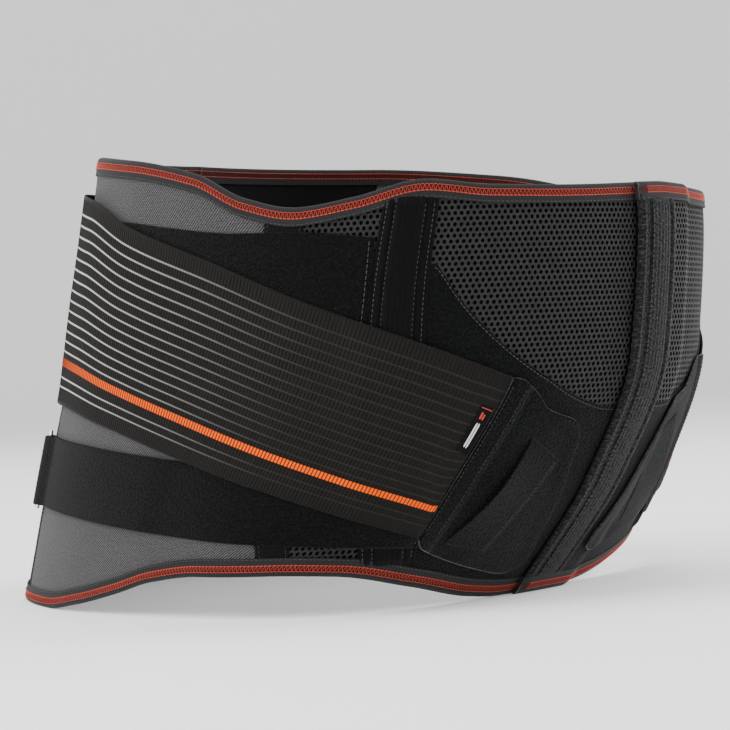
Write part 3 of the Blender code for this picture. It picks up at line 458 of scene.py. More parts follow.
class Nodes:
    """Short calls for building a material's nodes."""

    def __init__(self, name, roughness=0.9, metallic=0.0):
        self.material = bpy.data.materials.new(name)
        self.material.use_nodes = True
        self.tree = self.material.node_tree
        self.shader = self.tree.nodes["Principled BSDF"]
        self.shader.inputs["Roughness"].default_value = roughness
        self.shader.inputs["Metallic"].default_value = metallic
        place = self.tree.nodes.new("ShaderNodeUVMap")
        place.uv_map = "flat"
        scale = self.tree.nodes.new("ShaderNodeVectorMath")
        scale.operation = "SCALE"
        scale.inputs["Scale"].default_value = 1 / MM
        self.tree.links.new(place.outputs["UV"], scale.inputs[0])
        self.place = scale.outputs["Vector"]
        split = self.tree.nodes.new("ShaderNodeSeparateXYZ")
        self.tree.links.new(self.place, split.inputs[0])
        self.x, self.y = split.outputs["X"], split.outputs["Y"]

    def link(self, value, socket):
        if isinstance(value, bpy.types.NodeSocket):
            self.tree.links.new(value, socket)
        else:
            socket.default_value = value

    def math(self, operation, a, b=0.0, c=0.0):
        node = self.tree.nodes.new("ShaderNodeMath")
        node.operation = operation
        for value, socket in zip((a, b, c), node.inputs):
            self.link(value, socket)
        return node.outputs[0]

    def add(self, a, b):
        return self.math("ADD", a, b)

    def times(self, a, b):
        return self.math("MULTIPLY", a, b)

    def wave(self, x, pitch, phase=0.0):
        """A sine of amplitude 1 with its pitch in millimetres."""
        return self.math("SINE", self.math("MULTIPLY_ADD", x, 2 * math.pi / pitch, phase))

    def steps(self, x, start, end):
        """0 before start, 1 after end, smooth between."""
        node = self.tree.nodes.new("ShaderNodeMapRange")
        node.interpolation_type = "SMOOTHSTEP"
        self.link(x, node.inputs["Value"])
        node.inputs["From Min"].default_value = start
        node.inputs["From Max"].default_value = end
        return node.outputs["Result"]

    def noise(self, size, detail=3.0, roughness=0.6):
        """Noise from 0 to 1 with features of a size in millimetres."""
        node = self.tree.nodes.new("ShaderNodeTexNoise")
        node.inputs["Scale"].default_value = 1 / size
        node.inputs["Detail"].default_value = detail
        node.inputs["Roughness"].default_value = roughness
        self.tree.links.new(self.place, node.inputs["Vector"])
        return node.outputs["Fac"]

    def mix(self, share, a, b):
        node = self.tree.nodes.new("ShaderNodeMix")
        node.data_type = "RGBA"
        self.link(share, node.inputs[0])
        for value, socket in ((a, node.inputs[6]), (b, node.inputs[7])):
            self.link(value if isinstance(value, bpy.types.NodeSocket) else (*value, 1), socket)
        return node.outputs[2]

    def colour(self, value):
        self.link(value, self.shader.inputs["Base Color"])

    def relief(self, height, depth, strength=1.0):
        """Bump from a height of 0 to 1, with its depth in millimetres."""
        node = self.tree.nodes.new("ShaderNodeBump")
        node.inputs["Distance"].default_value = depth * MM
        node.inputs["Strength"].default_value = strength
        self.link(height, node.inputs["Height"])
        self.tree.links.new(node.outputs["Normal"], self.shader.inputs["Normal"])

    def sheen(self, weight, roughness=0.4):
        self.shader.inputs["Sheen Weight"].default_value = weight
        self.shader.inputs["Sheen Roughness"].default_value = roughness
        self.shader.inputs["Sheen Tint"].default_value = (1, 1, 1, 1)

    def dull(self, specular):
        """Lower the mirror-like part of the shine."""
        self.shader.inputs["Specular IOR Level"].default_value = specular

    def tone(self, size, least):
        """Slow changes in brightness, from least to 1."""
        return self.math("MULTIPLY_ADD", self.noise(size, 2.0), 1 - least, least)


def twill(name, dark, light, pitch=1.5):
    """Slanted ribs, crossed by finer ones."""
    n = Nodes(name, 0.9)
    slant = n.add(n.times(n.x, 0.77), n.times(n.y, 0.64))
    wobble = n.times(n.noise(5.0, 2.0), 0.6)
    ribs = n.wave(n.add(slant, wobble), pitch)
    cross = n.wave(n.add(n.times(n.x, -0.64), n.times(n.y, 0.77)), pitch * 0.7)
    weave = n.add(n.times(ribs, 0.4), n.times(n.times(cross, ribs), 0.3))
    grain = n.noise(1.2, 2.0, roughness=0.7)
    share = n.add(n.add(n.times(weave, 0.95), n.times(grain, 1.3)), -0.22)
    n.colour(n.mix(n.times(share, n.tone(45.0, 0.75)), dark, light))
    n.relief(n.add(weave, n.times(grain, 0.4)), 0.22, 0.9)
    n.sheen(0.12)
    n.dull(0.12)
    return n.material


def velour(name, dark, light, sheen=0.06):
    """Short pile: coarse and fine grain, faint brushing and a soft sheen."""
    n = Nodes(name, 0.95)
    fine = n.noise(0.5, 3.0, roughness=0.8)
    tufts = n.steps(n.noise(1.5, 2.0, roughness=0.75), 0.42, 0.66)
    grain = n.add(n.times(fine, 0.35), n.times(tufts, 0.65))
    fleck = n.steps(n.noise(2.0, 1.0), 0.6, 0.74)
    share = n.add(n.times(n.times(grain, n.tone(11.0, 0.55)), 0.8), n.times(fleck, 0.5))
    n.colour(n.mix(share, dark, light))
    n.relief(grain, 0.45, 0.9)
    n.sheen(sheen, 0.45)
    n.dull(0.06)
    return n.material


def knit(name, dark, light, pitch=0.95, depth=0.14, sheen=0.05):
    """Plain fine knit with wales that run up the belt."""
    n = Nodes(name, 0.9)
    wales = n.wave(n.x, pitch)
    courses = n.wave(n.add(n.y, n.times(wales, 0.18)), pitch * 0.8)
    grain = n.noise(0.9, 3.0, roughness=0.7)
    streak = n.noise(9.0, 2.0)
    weave = n.add(n.times(wales, 0.28), n.times(courses, 0.2))
    share = n.add(n.add(n.times(weave, 0.6), n.times(grain, 0.6)), n.times(streak, 0.2))
    n.colour(n.mix(share, dark, light))
    n.relief(n.add(weave, n.times(grain, 0.6)), depth, 0.9)
    n.sheen(sheen)
    n.dull(0.08)
    return n.material


BAND_FACE = 110.0
RIB_PITCH = 2.1
STRIPE_MIDDLE, STRIPE_HALF = 0.78, 0.021
LINE_SHARES = tuple(0.082 + 0.0495 * k for k in range(14)) + (0.858, 0.906)


def ribbed_elastic(name):
    """Dark rib weave with thin pale lines and one orange stripe; y runs across the band. The pale
    lines are painted dark grey at the band's front end and white towards its rear, as painted
    shade.
    """
    n = Nodes(name, 0.75)
    across = n.times(n.y, 1 / BAND_FACE)
    pale = None
    for share in LINE_SHARES:
        away = n.math("ABSOLUTE", n.add(across, -share))
        line = n.math("SUBTRACT", 1.0, n.steps(away, 0.0028, 0.0056))
        pale = line if pale is None else n.math("MAXIMUM", pale, line)
    rib = n.wave(n.x, RIB_PITCH)
    twist = n.math("MULTIPLY_ADD", n.wave(n.x, RIB_PITCH / 2), 0.22, 0.78)
    away = n.math("ABSOLUTE", n.add(across, -STRIPE_MIDDLE))
    stripe = n.math("SUBTRACT", 1.0, n.steps(away, STRIPE_HALF - 0.002, STRIPE_HALF + 0.001))
    slit = n.steps(rib, -0.95, -0.25)
    # Painted shade: a share along the band that darkens the pale lines towards its front end.
    painted_shade_along_band = n.steps(n.x, 90.0, 470.0)
    grain = n.noise(0.7, 3.0)
    thread = n.noise(24.0, 2.0)
    ground = n.mix(n.times(slit, n.add(0.4, n.times(grain, 0.8))), (0.0012, 0.0012, 0.0011),
                   (0.0075, 0.0069, 0.0058))
    ground = n.mix(n.times(thread, 0.2), ground, (0.016, 0.0135, 0.0105))
    # The pale lines' colour with painted shade: dark grey before 90 mm along the band, white after
    # 470 mm.
    white = n.mix(painted_shade_along_band, (0.019, 0.018, 0.016), (0.95, 0.94, 0.92))
    lined = n.mix(n.times(n.times(pale, twist), 0.92), ground, white)
    orange = n.mix(n.times(slit, 1.0), (0.12, 0.009, 0.0), (0.70, 0.082, 0.0))
    n.colour(n.mix(stripe, lined, orange))
    edge = n.math("MAXIMUM", stripe, pale)
    n.relief(n.add(n.times(slit, 0.6), n.times(edge, 0.25)), 0.25, 0.7)
    n.sheen(0.03)
    n.dull(0.1)
    return n.material


def edge_tape(name):
    """Folded elastic tape with an orange underlay; y is the depth from the fold."""
    n = Nodes(name, 0.85)
    ribs = n.wave(n.x, 0.9)
    grain = n.noise(0.6, 3.0)
    depth = n.math("ABSOLUTE", n.y)
    away = n.math("ABSOLUTE", n.add(depth, -STRIPE_DEPTH))
    under = n.math("SUBTRACT", 1.0, n.steps(away, STRIPE_REACH - 0.35, STRIPE_REACH + 0.1))
    share = n.add(n.times(ribs, 0.25), grain)
    ground = n.mix(share, (0.006, 0.006, 0.0062), (0.026, 0.0262, 0.027))
    warm = n.mix(share, (0.010, 0.003, 0.002), (0.06, 0.010, 0.006))
    n.colour(n.mix(under, ground, warm))
    n.relief(n.add(n.times(ribs, 0.3), n.times(grain, 0.4)), 0.12, 0.8)
    n.sheen(0.06)
    n.dull(0.1)
    return n.material


def thread(name, dark, light):
    """Twisted yarn."""
    n = Nodes(name, 0.6)
    twist = n.wave(n.add(n.x, n.times(n.y, 0.12)), 0.55)
    share = n.math("MULTIPLY_ADD", twist, 0.3, 0.6)
    n.colour(n.mix(n.times(share, n.add(0.6, n.times(n.noise(3.0, 1.0), 0.7))), dark, light))
    n.relief(share, 0.06, 0.6)
    n.sheen(0.15, 0.3)
    return n.material


def steel(name, colour, roughness):
    """Faintly scratched bare metal."""
    n = Nodes(name, roughness, 1.0)
    scratch = n.noise(0.8, 4.0)
    n.colour(n.mix(scratch, tuple(c * 0.82 for c in colour), colour))
    n.link(n.math("MULTIPLY_ADD", n.noise(6.0, 2.0), 0.2, roughness - 0.08),
           n.shader.inputs["Roughness"])
    n.relief(scratch, 0.02, 0.4)
    return n.material


def hook_face(name):
    """Rows of tiny moulded hooks."""
    n = Nodes(name, 0.6)
    dots = n.times(n.steps(n.wave(n.x, 1.3), 0.0, 0.8), n.steps(n.wave(n.y, 1.1), 0.0, 0.8))
    n.colour(n.mix(dots, (0.006, 0.006, 0.006), (0.045, 0.045, 0.047)))
    n.relief(dots, 0.5, 1.0)
    return n.material


STRIPE_DEPTH, STRIPE_REACH = 4.6, 1.6

LOOKS = {
    "grey": twill("grey_twill_cloth", (0.002, 0.0019, 0.0020), (0.118, 0.114, 0.119)),
    "tape": knit("black_tape_cloth", (0.0012, 0.0012, 0.0013), (0.0085, 0.0086, 0.0085)),
    "casing": knit("casing_cloth", (0.0006, 0.0006, 0.0006), (0.0052, 0.0053, 0.0050), 1.15, 0.2),
    "net": knit("net_cloth", (0.007, 0.0068, 0.0068), (0.046, 0.0452, 0.0445), 0.8, 0.12, 0.1),
    "net_floor": velour("net_floor_cloth", (0.0005, 0.0005, 0.0005), (0.002, 0.002, 0.002), 0.0),
    "velour": velour("velour_cloth", (0.0005, 0.0006, 0.0006), (0.0100, 0.0108, 0.0110)),
    "strap": velour("strap_cloth", (0.0004, 0.0004, 0.0004), (0.0092, 0.0092, 0.0089)),
    "centre": velour("centre_casing_cloth", (0.002, 0.0021, 0.0022), (0.052, 0.053, 0.0535)),
    # A lighter colour for cut edges: partly the real cut edge of the laminated velour, partly a
    # painted highlight where it runs as a thin line along the tab's face.
    "cut": velour("cut_edge_and_painted_highlight", (0.015, 0.0155, 0.016), (0.10, 0.102, 0.105), 0.2),
    "elastic": ribbed_elastic("ribbed_elastic_cloth"),
    "binding": edge_tape("edge_tape_cloth"),
    "hook": hook_face("hook_face"),
    "loop": velour("loop_face", (0.002, 0.002, 0.002), (0.010, 0.010, 0.010)),
    "label": knit("label_cloth", (0.0015, 0.0015, 0.002), (0.007, 0.007, 0.0075), 0.4, 0.04, 0.05),
    "pad": knit("pad_cloth", (0.005, 0.005, 0.0055), (0.034, 0.034, 0.036), 1.6, 0.3),
    "webbing": knit("webbing_cloth", (0.0015, 0.0015, 0.0015), (0.014, 0.014, 0.0145), 1.3, 0.3),
    "orange": thread("orange_thread", (0.13, 0.006, 0.002), (0.56, 0.034, 0.007)),
    "black": thread("black_thread", (0.003, 0.003, 0.003), (0.016, 0.016, 0.017)),
    "grey_thread": thread("grey_thread", (0.012, 0.012, 0.0125), (0.062, 0.063, 0.064)),
    "white": thread("white_thread", (0.35, 0.34, 0.33), (0.75, 0.74, 0.72)),
    "ring": steel("ring_wire", (0.78, 0.78, 0.77), 0.22),
    "stay": steel("stay_steel", (0.6, 0.6, 0.6), 0.35),
}


# ---- Riding ----

def finished(nodes):
    """Hide the design nodes that the piece stands for."""
    if nodes:
        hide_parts(*nodes)


def cross_side(piece, nodes=()):
    """A piece that runs from the back round to a front half, baked into place and not attached to
    one body.
    """
    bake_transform(piece)
    finished(nodes)


def attach(piece, body, nodes=()):
    """A piece that moves with one body."""
    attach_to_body(piece, body)
    finished(nodes)


def sew(name, w, z, offset, body, slot, *shape):
    """A row of stitches that moves with one body."""
    attach(stitches(name, w, z, offset, *shape), body)


# ---- Panels ----

def floor_of(w):
    """The height of a panel's lower edge, inside the tape."""
    return bottom_edge(w) + EDGE_IN_BINDING


def roof_of(w):
    """The height of a panel's upper edge, inside the tape."""
    return top_edge(w) - EDGE_IN_BINDING


def line(ends, shift=0.0):
    """An upright seam line, moved by a shift in millimetres."""
    return lambda z: seam(ends, z) + shift / HALF_GIRTH


def constant(value):
    """A line that keeps one value."""
    return lambda z: value + 0 * np.asarray(z, float)


SEAM_PLACE, DENT_HALF = 2.2, 1.1


def seam_dent(*distances, depth=0.35):
    """A stitched line pulls the cloth in, a little way from each seam."""
    return sum(-depth * bump(d, SEAM_PLACE, DENT_HALF) for d in distances)


def grey_panel(side):
    """Twill round the side, from the tape strip to the back panel."""
    word = WORDS[side]
    w, z, front, rear, *_ = fill_panel(
        line(TAPE_REAR), constant(BACK_PANEL_EDGE), floor_of, roof_of, 205.0, 240.0
    )
    piece = lay_cloth(
        f"grey_cloth_{word}", w, z, 0 * w, PANEL + seam_dent(front, rear),
        np.minimum(front, rear), 1.3, side, "grey",
    )
    cross_side(piece, (f"grey_panel_side_{word}", f"grey_panel_rear_{word}"))


def tape_strip(side):
    """The woven strip behind the side mesh, stitched down along both edges."""
    word = WORDS[side]
    w, z, front, rear, *_ = fill_panel(
        line(TAPE_FRONT), line(TAPE_REAR), floor_of, roof_of, 21.0, 205.0, 2.0
    )
    piece = lay_cloth(
        f"tape_cloth_{word}", w, z, 0 * w, PANEL + 0.25 + seam_dent(front, rear),
        np.minimum(front, rear), 1.2, side, "tape",
    )
    attach(piece, f"front_{word}", (f"rear_tape_{word}",))
    at = np.linspace(28, 225, 80)
    for label, ends, shift in (("front", TAPE_FRONT, SEAM_PLACE), ("rear", TAPE_REAR, -SEAM_PLACE)):
        sew(
            f"tape_stitch_{label}_{word}", side * line(ends, shift)(at), at, PANEL + 0.05,
            f"front_{word}", "black_tape", "black",
        )


NET_PITCH, NET_ROW, HOLE_RADIUS = 3.5, 3.05, 1.02
HOLE_HEIGHT = 1.12
NET_FACE = PANEL - 0.2
NET_DEPTH = 0.95
LIP_SHARES, LIP_DROPS = (1.22, 1.0, 0.94), (0.02, 0.3, NET_DEPTH)
STRAND_DROP = 0.12
CELL_SIDES = 12
NET_EDGE = 3.0


def net_cells(inside):
    """Centres of the staggered holes, as flat places, for which inside is true."""
    j, i = np.meshgrid(np.arange(0, 90), np.arange(-20, 80))
    x = (i + 0.5 * (j % 2)) * NET_PITCH
    y = j * NET_ROW
    keep = inside(x, y)
    return np.stack([x[keep], y[keep]], -1)


def open_border(faces):
    """The edges, as pairs of point numbers, that only one of the faces has."""
    edges = np.stack([faces, np.roll(faces, -1, 1)], -1).reshape(-1, 2)
    _, index, uses = np.unique(np.sort(edges, 1), axis=0, return_index=True, return_counts=True)
    return edges[index[uses == 1]]


def net_panel(label, side, inside, lifted):
    """Spacer net: hexagonal cells over a dark backing, each with one round hole.

    inside(x, y) says which cells are kept. The flat area in square millimetres is returned too.
    """
    word = WORDS[side]
    centres = net_cells(inside)
    turns = np.arange(CELL_SIDES) * math.pi / 6 + math.pi / 2
    corner = NET_PITCH / math.sqrt(3)
    reach = np.where(np.arange(CELL_SIDES) % 2 == 0, corner, NET_PITCH / 2)
    tall = np.sin(turns) * reach * NET_ROW * 2 / math.sqrt(3) / NET_PITCH
    outline = centres[:, None] + np.stack([np.cos(turns) * reach, tall], -1)[None]
    hole = np.stack([np.cos(turns), np.sin(turns) * HOLE_HEIGHT], -1)
    keys = np.round(outline.reshape(-1, 2) * 20).astype(np.int64)
    _, first, shared = np.unique(keys, axis=0, return_index=True, return_inverse=True)
    shared = shared.reshape(-1, CELL_SIDES)
    corners = outline.reshape(-1, 2)[first]
    count, size = len(corners), len(centres) * CELL_SIDES
    rings = [(centres[:, None] + hole[None] * HOLE_RADIUS * k).reshape(-1, 2) for k in LIP_SHARES]
    flat = np.concatenate([corners, *rings, corners])
    drop = np.concatenate([
        np.full(count, STRAND_DROP), *(np.full(size, d) for d in LIP_DROPS),
        np.full(count, NET_FACE),
    ])
    w = flat[:, 0] / HALF_GIRTH
    points = on_torso(w * side, flat[:, 1], NET_FACE - drop + lifted(w))
    starts = [count + size * k for k in range(len(LIP_SHARES))]
    loops = [shared] + [np.arange(size).reshape(-1, CELL_SIDES) + s for s in starts]
    web = []
    for wider, narrower in zip(loops, loops[1:]):
        after = np.roll(wider, -1, 1), np.roll(narrower, -1, 1)
        web.append(np.stack([wider, *after, narrower], -1).reshape(-1, 4))
    down = starts[-1] + size
    a, b = open_border(shared).T
    faces = [*web, loops[-1], shared[:, ::-1] + down, np.stack([b, a, a + down, b + down], -1)]
    if side < 0:
        faces = [f[:, ::-1] for f in faces]
    piece = make_piece(
        f"{label}_net_{word}", points, faces, flat, [LOOKS["net"], LOOKS["net_floor"]],
        (0, 0, 1, 1, 0, 0),
    )
    attach(piece, f"front_{word}", (f"{label}_mesh_{word}",))
    return piece, len(centres) * NET_PITCH * NET_ROW


def front_net(side):
    def inside(x, y):
        w = x / HALF_GIRTH
        return (
            (w > closure_end(side) + 0.004) & (w < seam(FRONT_CASING_EDGE, y) + 0.004)
            & (y < top_edge(w) - NET_EDGE) & (y > mesh_seam_at(np.abs(w)) - 2.0)
        )

    piece, area = net_panel("front", side, inside, lambda w: lift(w, side))


def side_net(side):
    def inside(x, y):
        w = x / HALF_GIRTH
        return (
            (w > seam(REAR_CASING_EDGE, y) - 0.006) & (w < seam(TAPE_FRONT, y) + 0.002)
            & (y < top_edge(w) - NET_EDGE) & (y > bottom_edge(w) + NET_EDGE)
        )

    piece, area = net_panel("side", side, inside, lambda w: 0 * w)


def front_velour(side):
    """The velour below the curved seam of the front mesh."""
    word = WORDS[side]
    closure = closure_end(side) + (CASING_WRAP if side > 0 else 0.0)
    w, z, front, rear, _, top = fill_panel(
        constant(closure), line(FRONT_CASING_EDGE), floor_of, lambda w: mesh_seam_at(np.abs(w)),
        125.0, 125.0,
    )
    rise = lift(w, side)
    piece = lay_cloth(
        f"velour_panel_{word}", w, z, rise, PANEL + 0.35 + rise + seam_dent(top, depth=0.3),
        np.minimum(np.minimum(front, rear), top), 1.2, side, "velour",
    )
    attach(piece, f"front_{word}", (f"front_velour_{word}",))
    at = np.linspace(closure + 0.002, 0.252, 170)
    sew(
        f"mesh_seam_stitch_{word}", side * at, mesh_seam_at(np.abs(at)) - SEAM_PLACE,
        lambda a, b: PANEL + 0.12 + lift(a * side, side), f"front_{word}", "black_velour",
        "grey_thread", 2.6,
    )


for side in WORDS:
    grey_panel(side)
    tape_strip(side)
    front_net(side)
    side_net(side)
    front_velour(side)


# ---- Casings and stays ----

CASING_END = (0.0, 1.5, 3.0, 4.5, 5.5, 6.5, 7.5, 8.5, 9.5, 11.0, 13.0)
CASING_FLAT, PRESSED_END = 3.05, (3.5, 9.0)
FOLD_DOWN = 2.4
CASING_ENDS_AT = 4.0
STITCHES_END_AT = 9


def casing(names, centre, half, low, high, relief, rows, rise, body, node,
           width=lambda z: 1.0, look="casing", wraps=False):
    """A boned casing and its rows of stitches, from the pair of their names.

    relief gives the outer offset from the place across it, in millimetres; width scales it at each
    height. Both ends are pressed flat, where the bound edges cover them. wraps folds the first edge
    down round the edge of the panel. rows holds each stitched row's label and place across.
    """
    low, high = low + CASING_ENDS_AT, high - CASING_ENDS_AT
    inside = high - low
    a, z = np.meshgrid(
        np.linspace(-half, half, 85), low + inside * graded(inside, 4.0, CASING_END)
    )
    w = centre(z) + a * width(z) / HALF_GIRTH
    end = np.minimum(z - low, high - z)
    outer = CASING_FLAT + (relief(a) - CASING_FLAT) * ramp(end, *PRESSED_END) + rise(w)
    fold = FOLD_DOWN * (1 - ramp(a, 1.2 - half, 2.2 - half)) if wraps else 0
    inner = PANEL + 0.15 - fold + rise(w)
    skins = skins_of(w, z, inner, outer, half - np.abs(a), 1.0)
    piece = skinned(names[0], *skins, np.stack([a + half, z], -1), [LOOKS[look]])
    attach(piece, body, (node,))
    z = np.linspace(low + STITCHES_END_AT, high - STITCHES_END_AT, 120)
    for label, across in rows:
        sew(
            names[1].format(label), centre(z) + across * width(z) / HALF_GIRTH, z,
            lambda a, b: relief(np.float64(across)) + rise(a) - 0.08, body, "black_tape",
            "grey_thread", 2.8,
        )


STAY_CHANNEL = 7.4
CHANNEL_TOP = 5.15
CHANNEL_RIBS = 2.9
CASING_OVERLAP = 0.6


def plateau(a, low, high, soft):
    """1 between low and high, falling smoothly to 0 over soft on each side."""
    return ramp(a, low - soft, low) * (1 - ramp(a, high, high + soft))


def side_relief(a):
    """Piped edges, a soft roll inside each, and a ribbed channel for the stay between them."""
    channel = plateau(a, -STAY_CHANNEL, STAY_CHANNEL, 1.6)
    rolls = bump(a, -11.6, 3.0) + bump(a, 11.6, 3.0)
    ribs = 0.12 * np.cos(2 * math.pi * a / CHANNEL_RIBS) * channel
    piping = bump(np.abs(a), 15.4, 0.9)
    return 3.35 + (CHANNEL_TOP + 0.15 - 3.35) * channel + 1.15 * rolls + ribs + 0.55 * piping


def centre_relief(a):
    """A thin welt by a deep groove on the wearer's right, a wide ridge, then a narrower one."""
    channel = plateau(a, -STAY_CHANNEL, STAY_CHANNEL, 1.7)
    ribs = 0.14 * np.cos(2 * math.pi * a / CHANNEL_RIBS) * channel
    return (
        3.3 + (CHANNEL_TOP + 0.2 - 3.3) * channel + 0.45 * bump(a, 0.0, 8.0) * channel + ribs
        + 1.5 * bump(a, -14.7, 2.0) + 1.6 * bump(a, 12.4, 3.4) + 0.3 * bump(a, 16.0, 1.0)
    )


def back_relief(a):
    """One raised channel for the stay."""
    return 3.3 + (CHANNEL_TOP + 0.15 - 3.3) * plateau(a, -STAY_CHANNEL, STAY_CHANNEL, 1.8)


def side_casing(side):
    """The casing beside the front mesh; it widens and narrows with its two seams."""
    word = WORDS[side]

    def centre(z):
        return side * (seam(FRONT_CASING_EDGE, z) + seam(REAR_CASING_EDGE, z)) / 2

    half = (REAR_CASING_EDGE[0] - FRONT_CASING_EDGE[0]) / 2 * HALF_GIRTH + CASING_OVERLAP

    def width(z):
        apart = seam(REAR_CASING_EDGE, z) - seam(FRONT_CASING_EDGE, z)
        return (apart / 2 * HALF_GIRTH + CASING_OVERLAP) / half

    casing(
        (f"side_casing_cloth_{word}", f"side_casing_stitch_{{}}_{word}"), centre, half,
        bottom_edge(0.22), top_edge(0.27), side_relief,
        (("front", -14.2), ("rear", 14.2), ("inner", -8.9), ("outer", 8.9)), constant(0.0),
        f"front_{word}", f"side_casing_{word}", width,
    )


def centre_casing():
    """The casing along the closure's outer end."""
    casing(
        ("centre_casing_cloth", "centre_casing_stitch_{}"), constant(CASING_CENTRE),
        CENTRE_CASING_HALF, 0.0, top_edge(0), centre_relief,
        (("groove", -12.4), ("ridge", -7.9), ("valley", 8.8), ("edge", 15.0)),
        constant(CLOSURE_LIFT), "front_left", "centre_casing", look="centre", wraps=True,
    )


def back_casing(side):
    """The casing of a stay beside the spine."""
    word = WORDS[side]
    casing(
        (f"back_casing_cloth_{word}", f"back_casing_stitch_{{}}_{word}"),
        constant(side * BACK_CASING_ROUND), BACK_CASING_HALF, bottom_edge(BACK_CASING_ROUND),
        top_edge(BACK_CASING_ROUND), back_relief, (("outer", -9.6), ("inner", 9.6)),
        constant(0.0), "back", f"back_casing_{word}",
    )


def back_panel():
    """The panel between the two grey ones."""
    w, z, front, rear, *_ = fill_panel(
        constant(BACK_PANEL_EDGE), constant(2 - BACK_PANEL_EDGE),
        lambda w: floor_of(np.minimum(w, 2 - w)), lambda w: roof_of(np.minimum(w, 2 - w)),
        296.0, 265.0, 4.0,
    )
    piece = lay_cloth(
        "back_cloth", w, z, 0 * w, PANEL + seam_dent(front, rear), np.minimum(front, rear), 1.3,
        1, "tape",
    )
    attach(piece, "back", ("back_panel",))
    at = np.linspace(8, 262, 120)
    for side, word in WORDS.items():
        sew(
            f"back_seam_stitch_{word}",
            side * (BACK_PANEL_EDGE + SEAM_PLACE / HALF_GIRTH) + 0 * at, at, PANEL - 0.2,
            "back", "black_tape",
        )


centre_casing()
back_panel()
for side in WORDS:
    side_casing(side)
    back_casing(side)
for node in ("centre_stay", *(f"{k}_stay_{w}" for k in ("side", "back") for w in WORDS.values())):
    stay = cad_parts[node]
    stay.data.materials.clear()
    stay.data.materials.append(LOOKS["stay"])


# ---- Bound edges ----

TAPE_OUTSIDE, TAPE_INSIDE = PANEL + 1.05, -1.05
TAPE_LEGS = (10.5, 10.2, 9.4, 8.6, 7.4, 5.6, 3.8, 2.9)
FOLD_DEPTH, FOLD_STEPS = 2.4, 10
THREAD_REPEAT = 2.3


def tape_profile():
    """The folded tape's section as (depth from the fold, offset), outer leg first."""
    outside, inside = TAPE_OUTSIDE, TAPE_INSIDE
    middle, reach = (outside + inside) / 2, (outside - inside) / 2
    skin = [(d, outside + 0.12 * bump(d, 6.0, 4.5)) for d in TAPE_LEGS]
    turns = [math.pi / 2 - math.pi * k / FOLD_STEPS for k in range(FOLD_STEPS + 1)]
    fold = [
        (FOLD_DEPTH - FOLD_DEPTH * math.cos(t), middle + reach * math.sin(t)) for t in turns
    ]
    lining = [(d, inside - 0.12 * bump(d, 6.0, 4.5)) for d in TAPE_LEGS[::-1]]
    hollow = [
        (10.2, inside + 0.75), (1.5, inside + 0.85), (1.5, outside - 0.85), (10.2, outside - 0.75),
    ]
    return np.array(skin + fold + lining + hollow)


def rim_run(side, upper, spacing):
    """Rounds along one half of a belt edge, from the closure to the back centre."""
    edge = top_edge if upper else bottom_edge
    w = np.linspace(closure_end(side), 1.0, 1200)
    return along_line(w, edge(w), spacing)[0]


def below_rim(w, depth, upper):
    """The height at a depth inside the belt from its top or bottom edge."""
    return top_edge(w) - depth if upper else bottom_edge(w) + depth


def edge_binding(side, upper):
    """The folded tape along one edge, thinner at its end on the closure."""
    word = WORDS[side]
    label = "top" if upper else "bottom"
    w = rim_run(side, upper, 2.5)[:, None]
    profile = tape_profile()
    depth, offset = profile[None, :, 0], profile[None, :, 1]
    edge = below_rim(w, depth, upper)
    end = (w - w[0]) * HALF_GIRTH
    thin = 0.55 + 0.45 * ramp(end, 0.0, 6.0)
    points = on_torso(side * w, edge, PANEL / 2 + (offset - PANEL / 2) * thin + lift(w, side))
    rows, columns = points.shape[:2]
    quads = grid_faces(rows, columns, wrap=True)
    caps = [np.arange(columns)[None], np.arange(columns)[None, ::-1] + (rows - 1) * columns]
    hub = points.mean(1, keepdims=True)
    if not outwards(points.reshape(-1, 3), quads, (points - hub).reshape(-1, 3)):
        quads, caps = quads[:, ::-1], [c[:, ::-1] for c in caps]
    run = np.broadcast_to(w * HALF_GIRTH, points.shape[:2])
    signed = np.where(offset > PANEL / 2, depth, -depth)
    flat = np.stack([run, np.broadcast_to(signed, points.shape[:2])], -1)
    piece = make_piece(
        f"binding_{label}_cloth_{word}", points, [quads, *caps], flat, [LOOKS["binding"]]
    )
    nodes = [f"binding_{label}_front_{word}"] + ([f"binding_{label}_back"] if side > 0 else [])
    cross_side(piece, nodes)


def rim_thread(name, side, upper, profile, repeat, radius, look, offset):
    """A thread that repeats along the rim. profile gives (share of repeat, depth, rise) points."""
    w = rim_run(side, upper, repeat)
    w = w[w > w[0] + 5.0 / HALF_GIRTH]
    lines = []
    for share, depth, rise in profile:
        here = w[:-1] + (w[1:] - w[:-1]) * share
        height = below_rim(here, depth, upper)
        lines.append(on_torso(side * here, height, offset + rise + lift(here, side)))
    piece = tubes(name, np.stack(lines, 1), radius, THREAD_SIDES, look, 0.8)
    cross_side(piece)


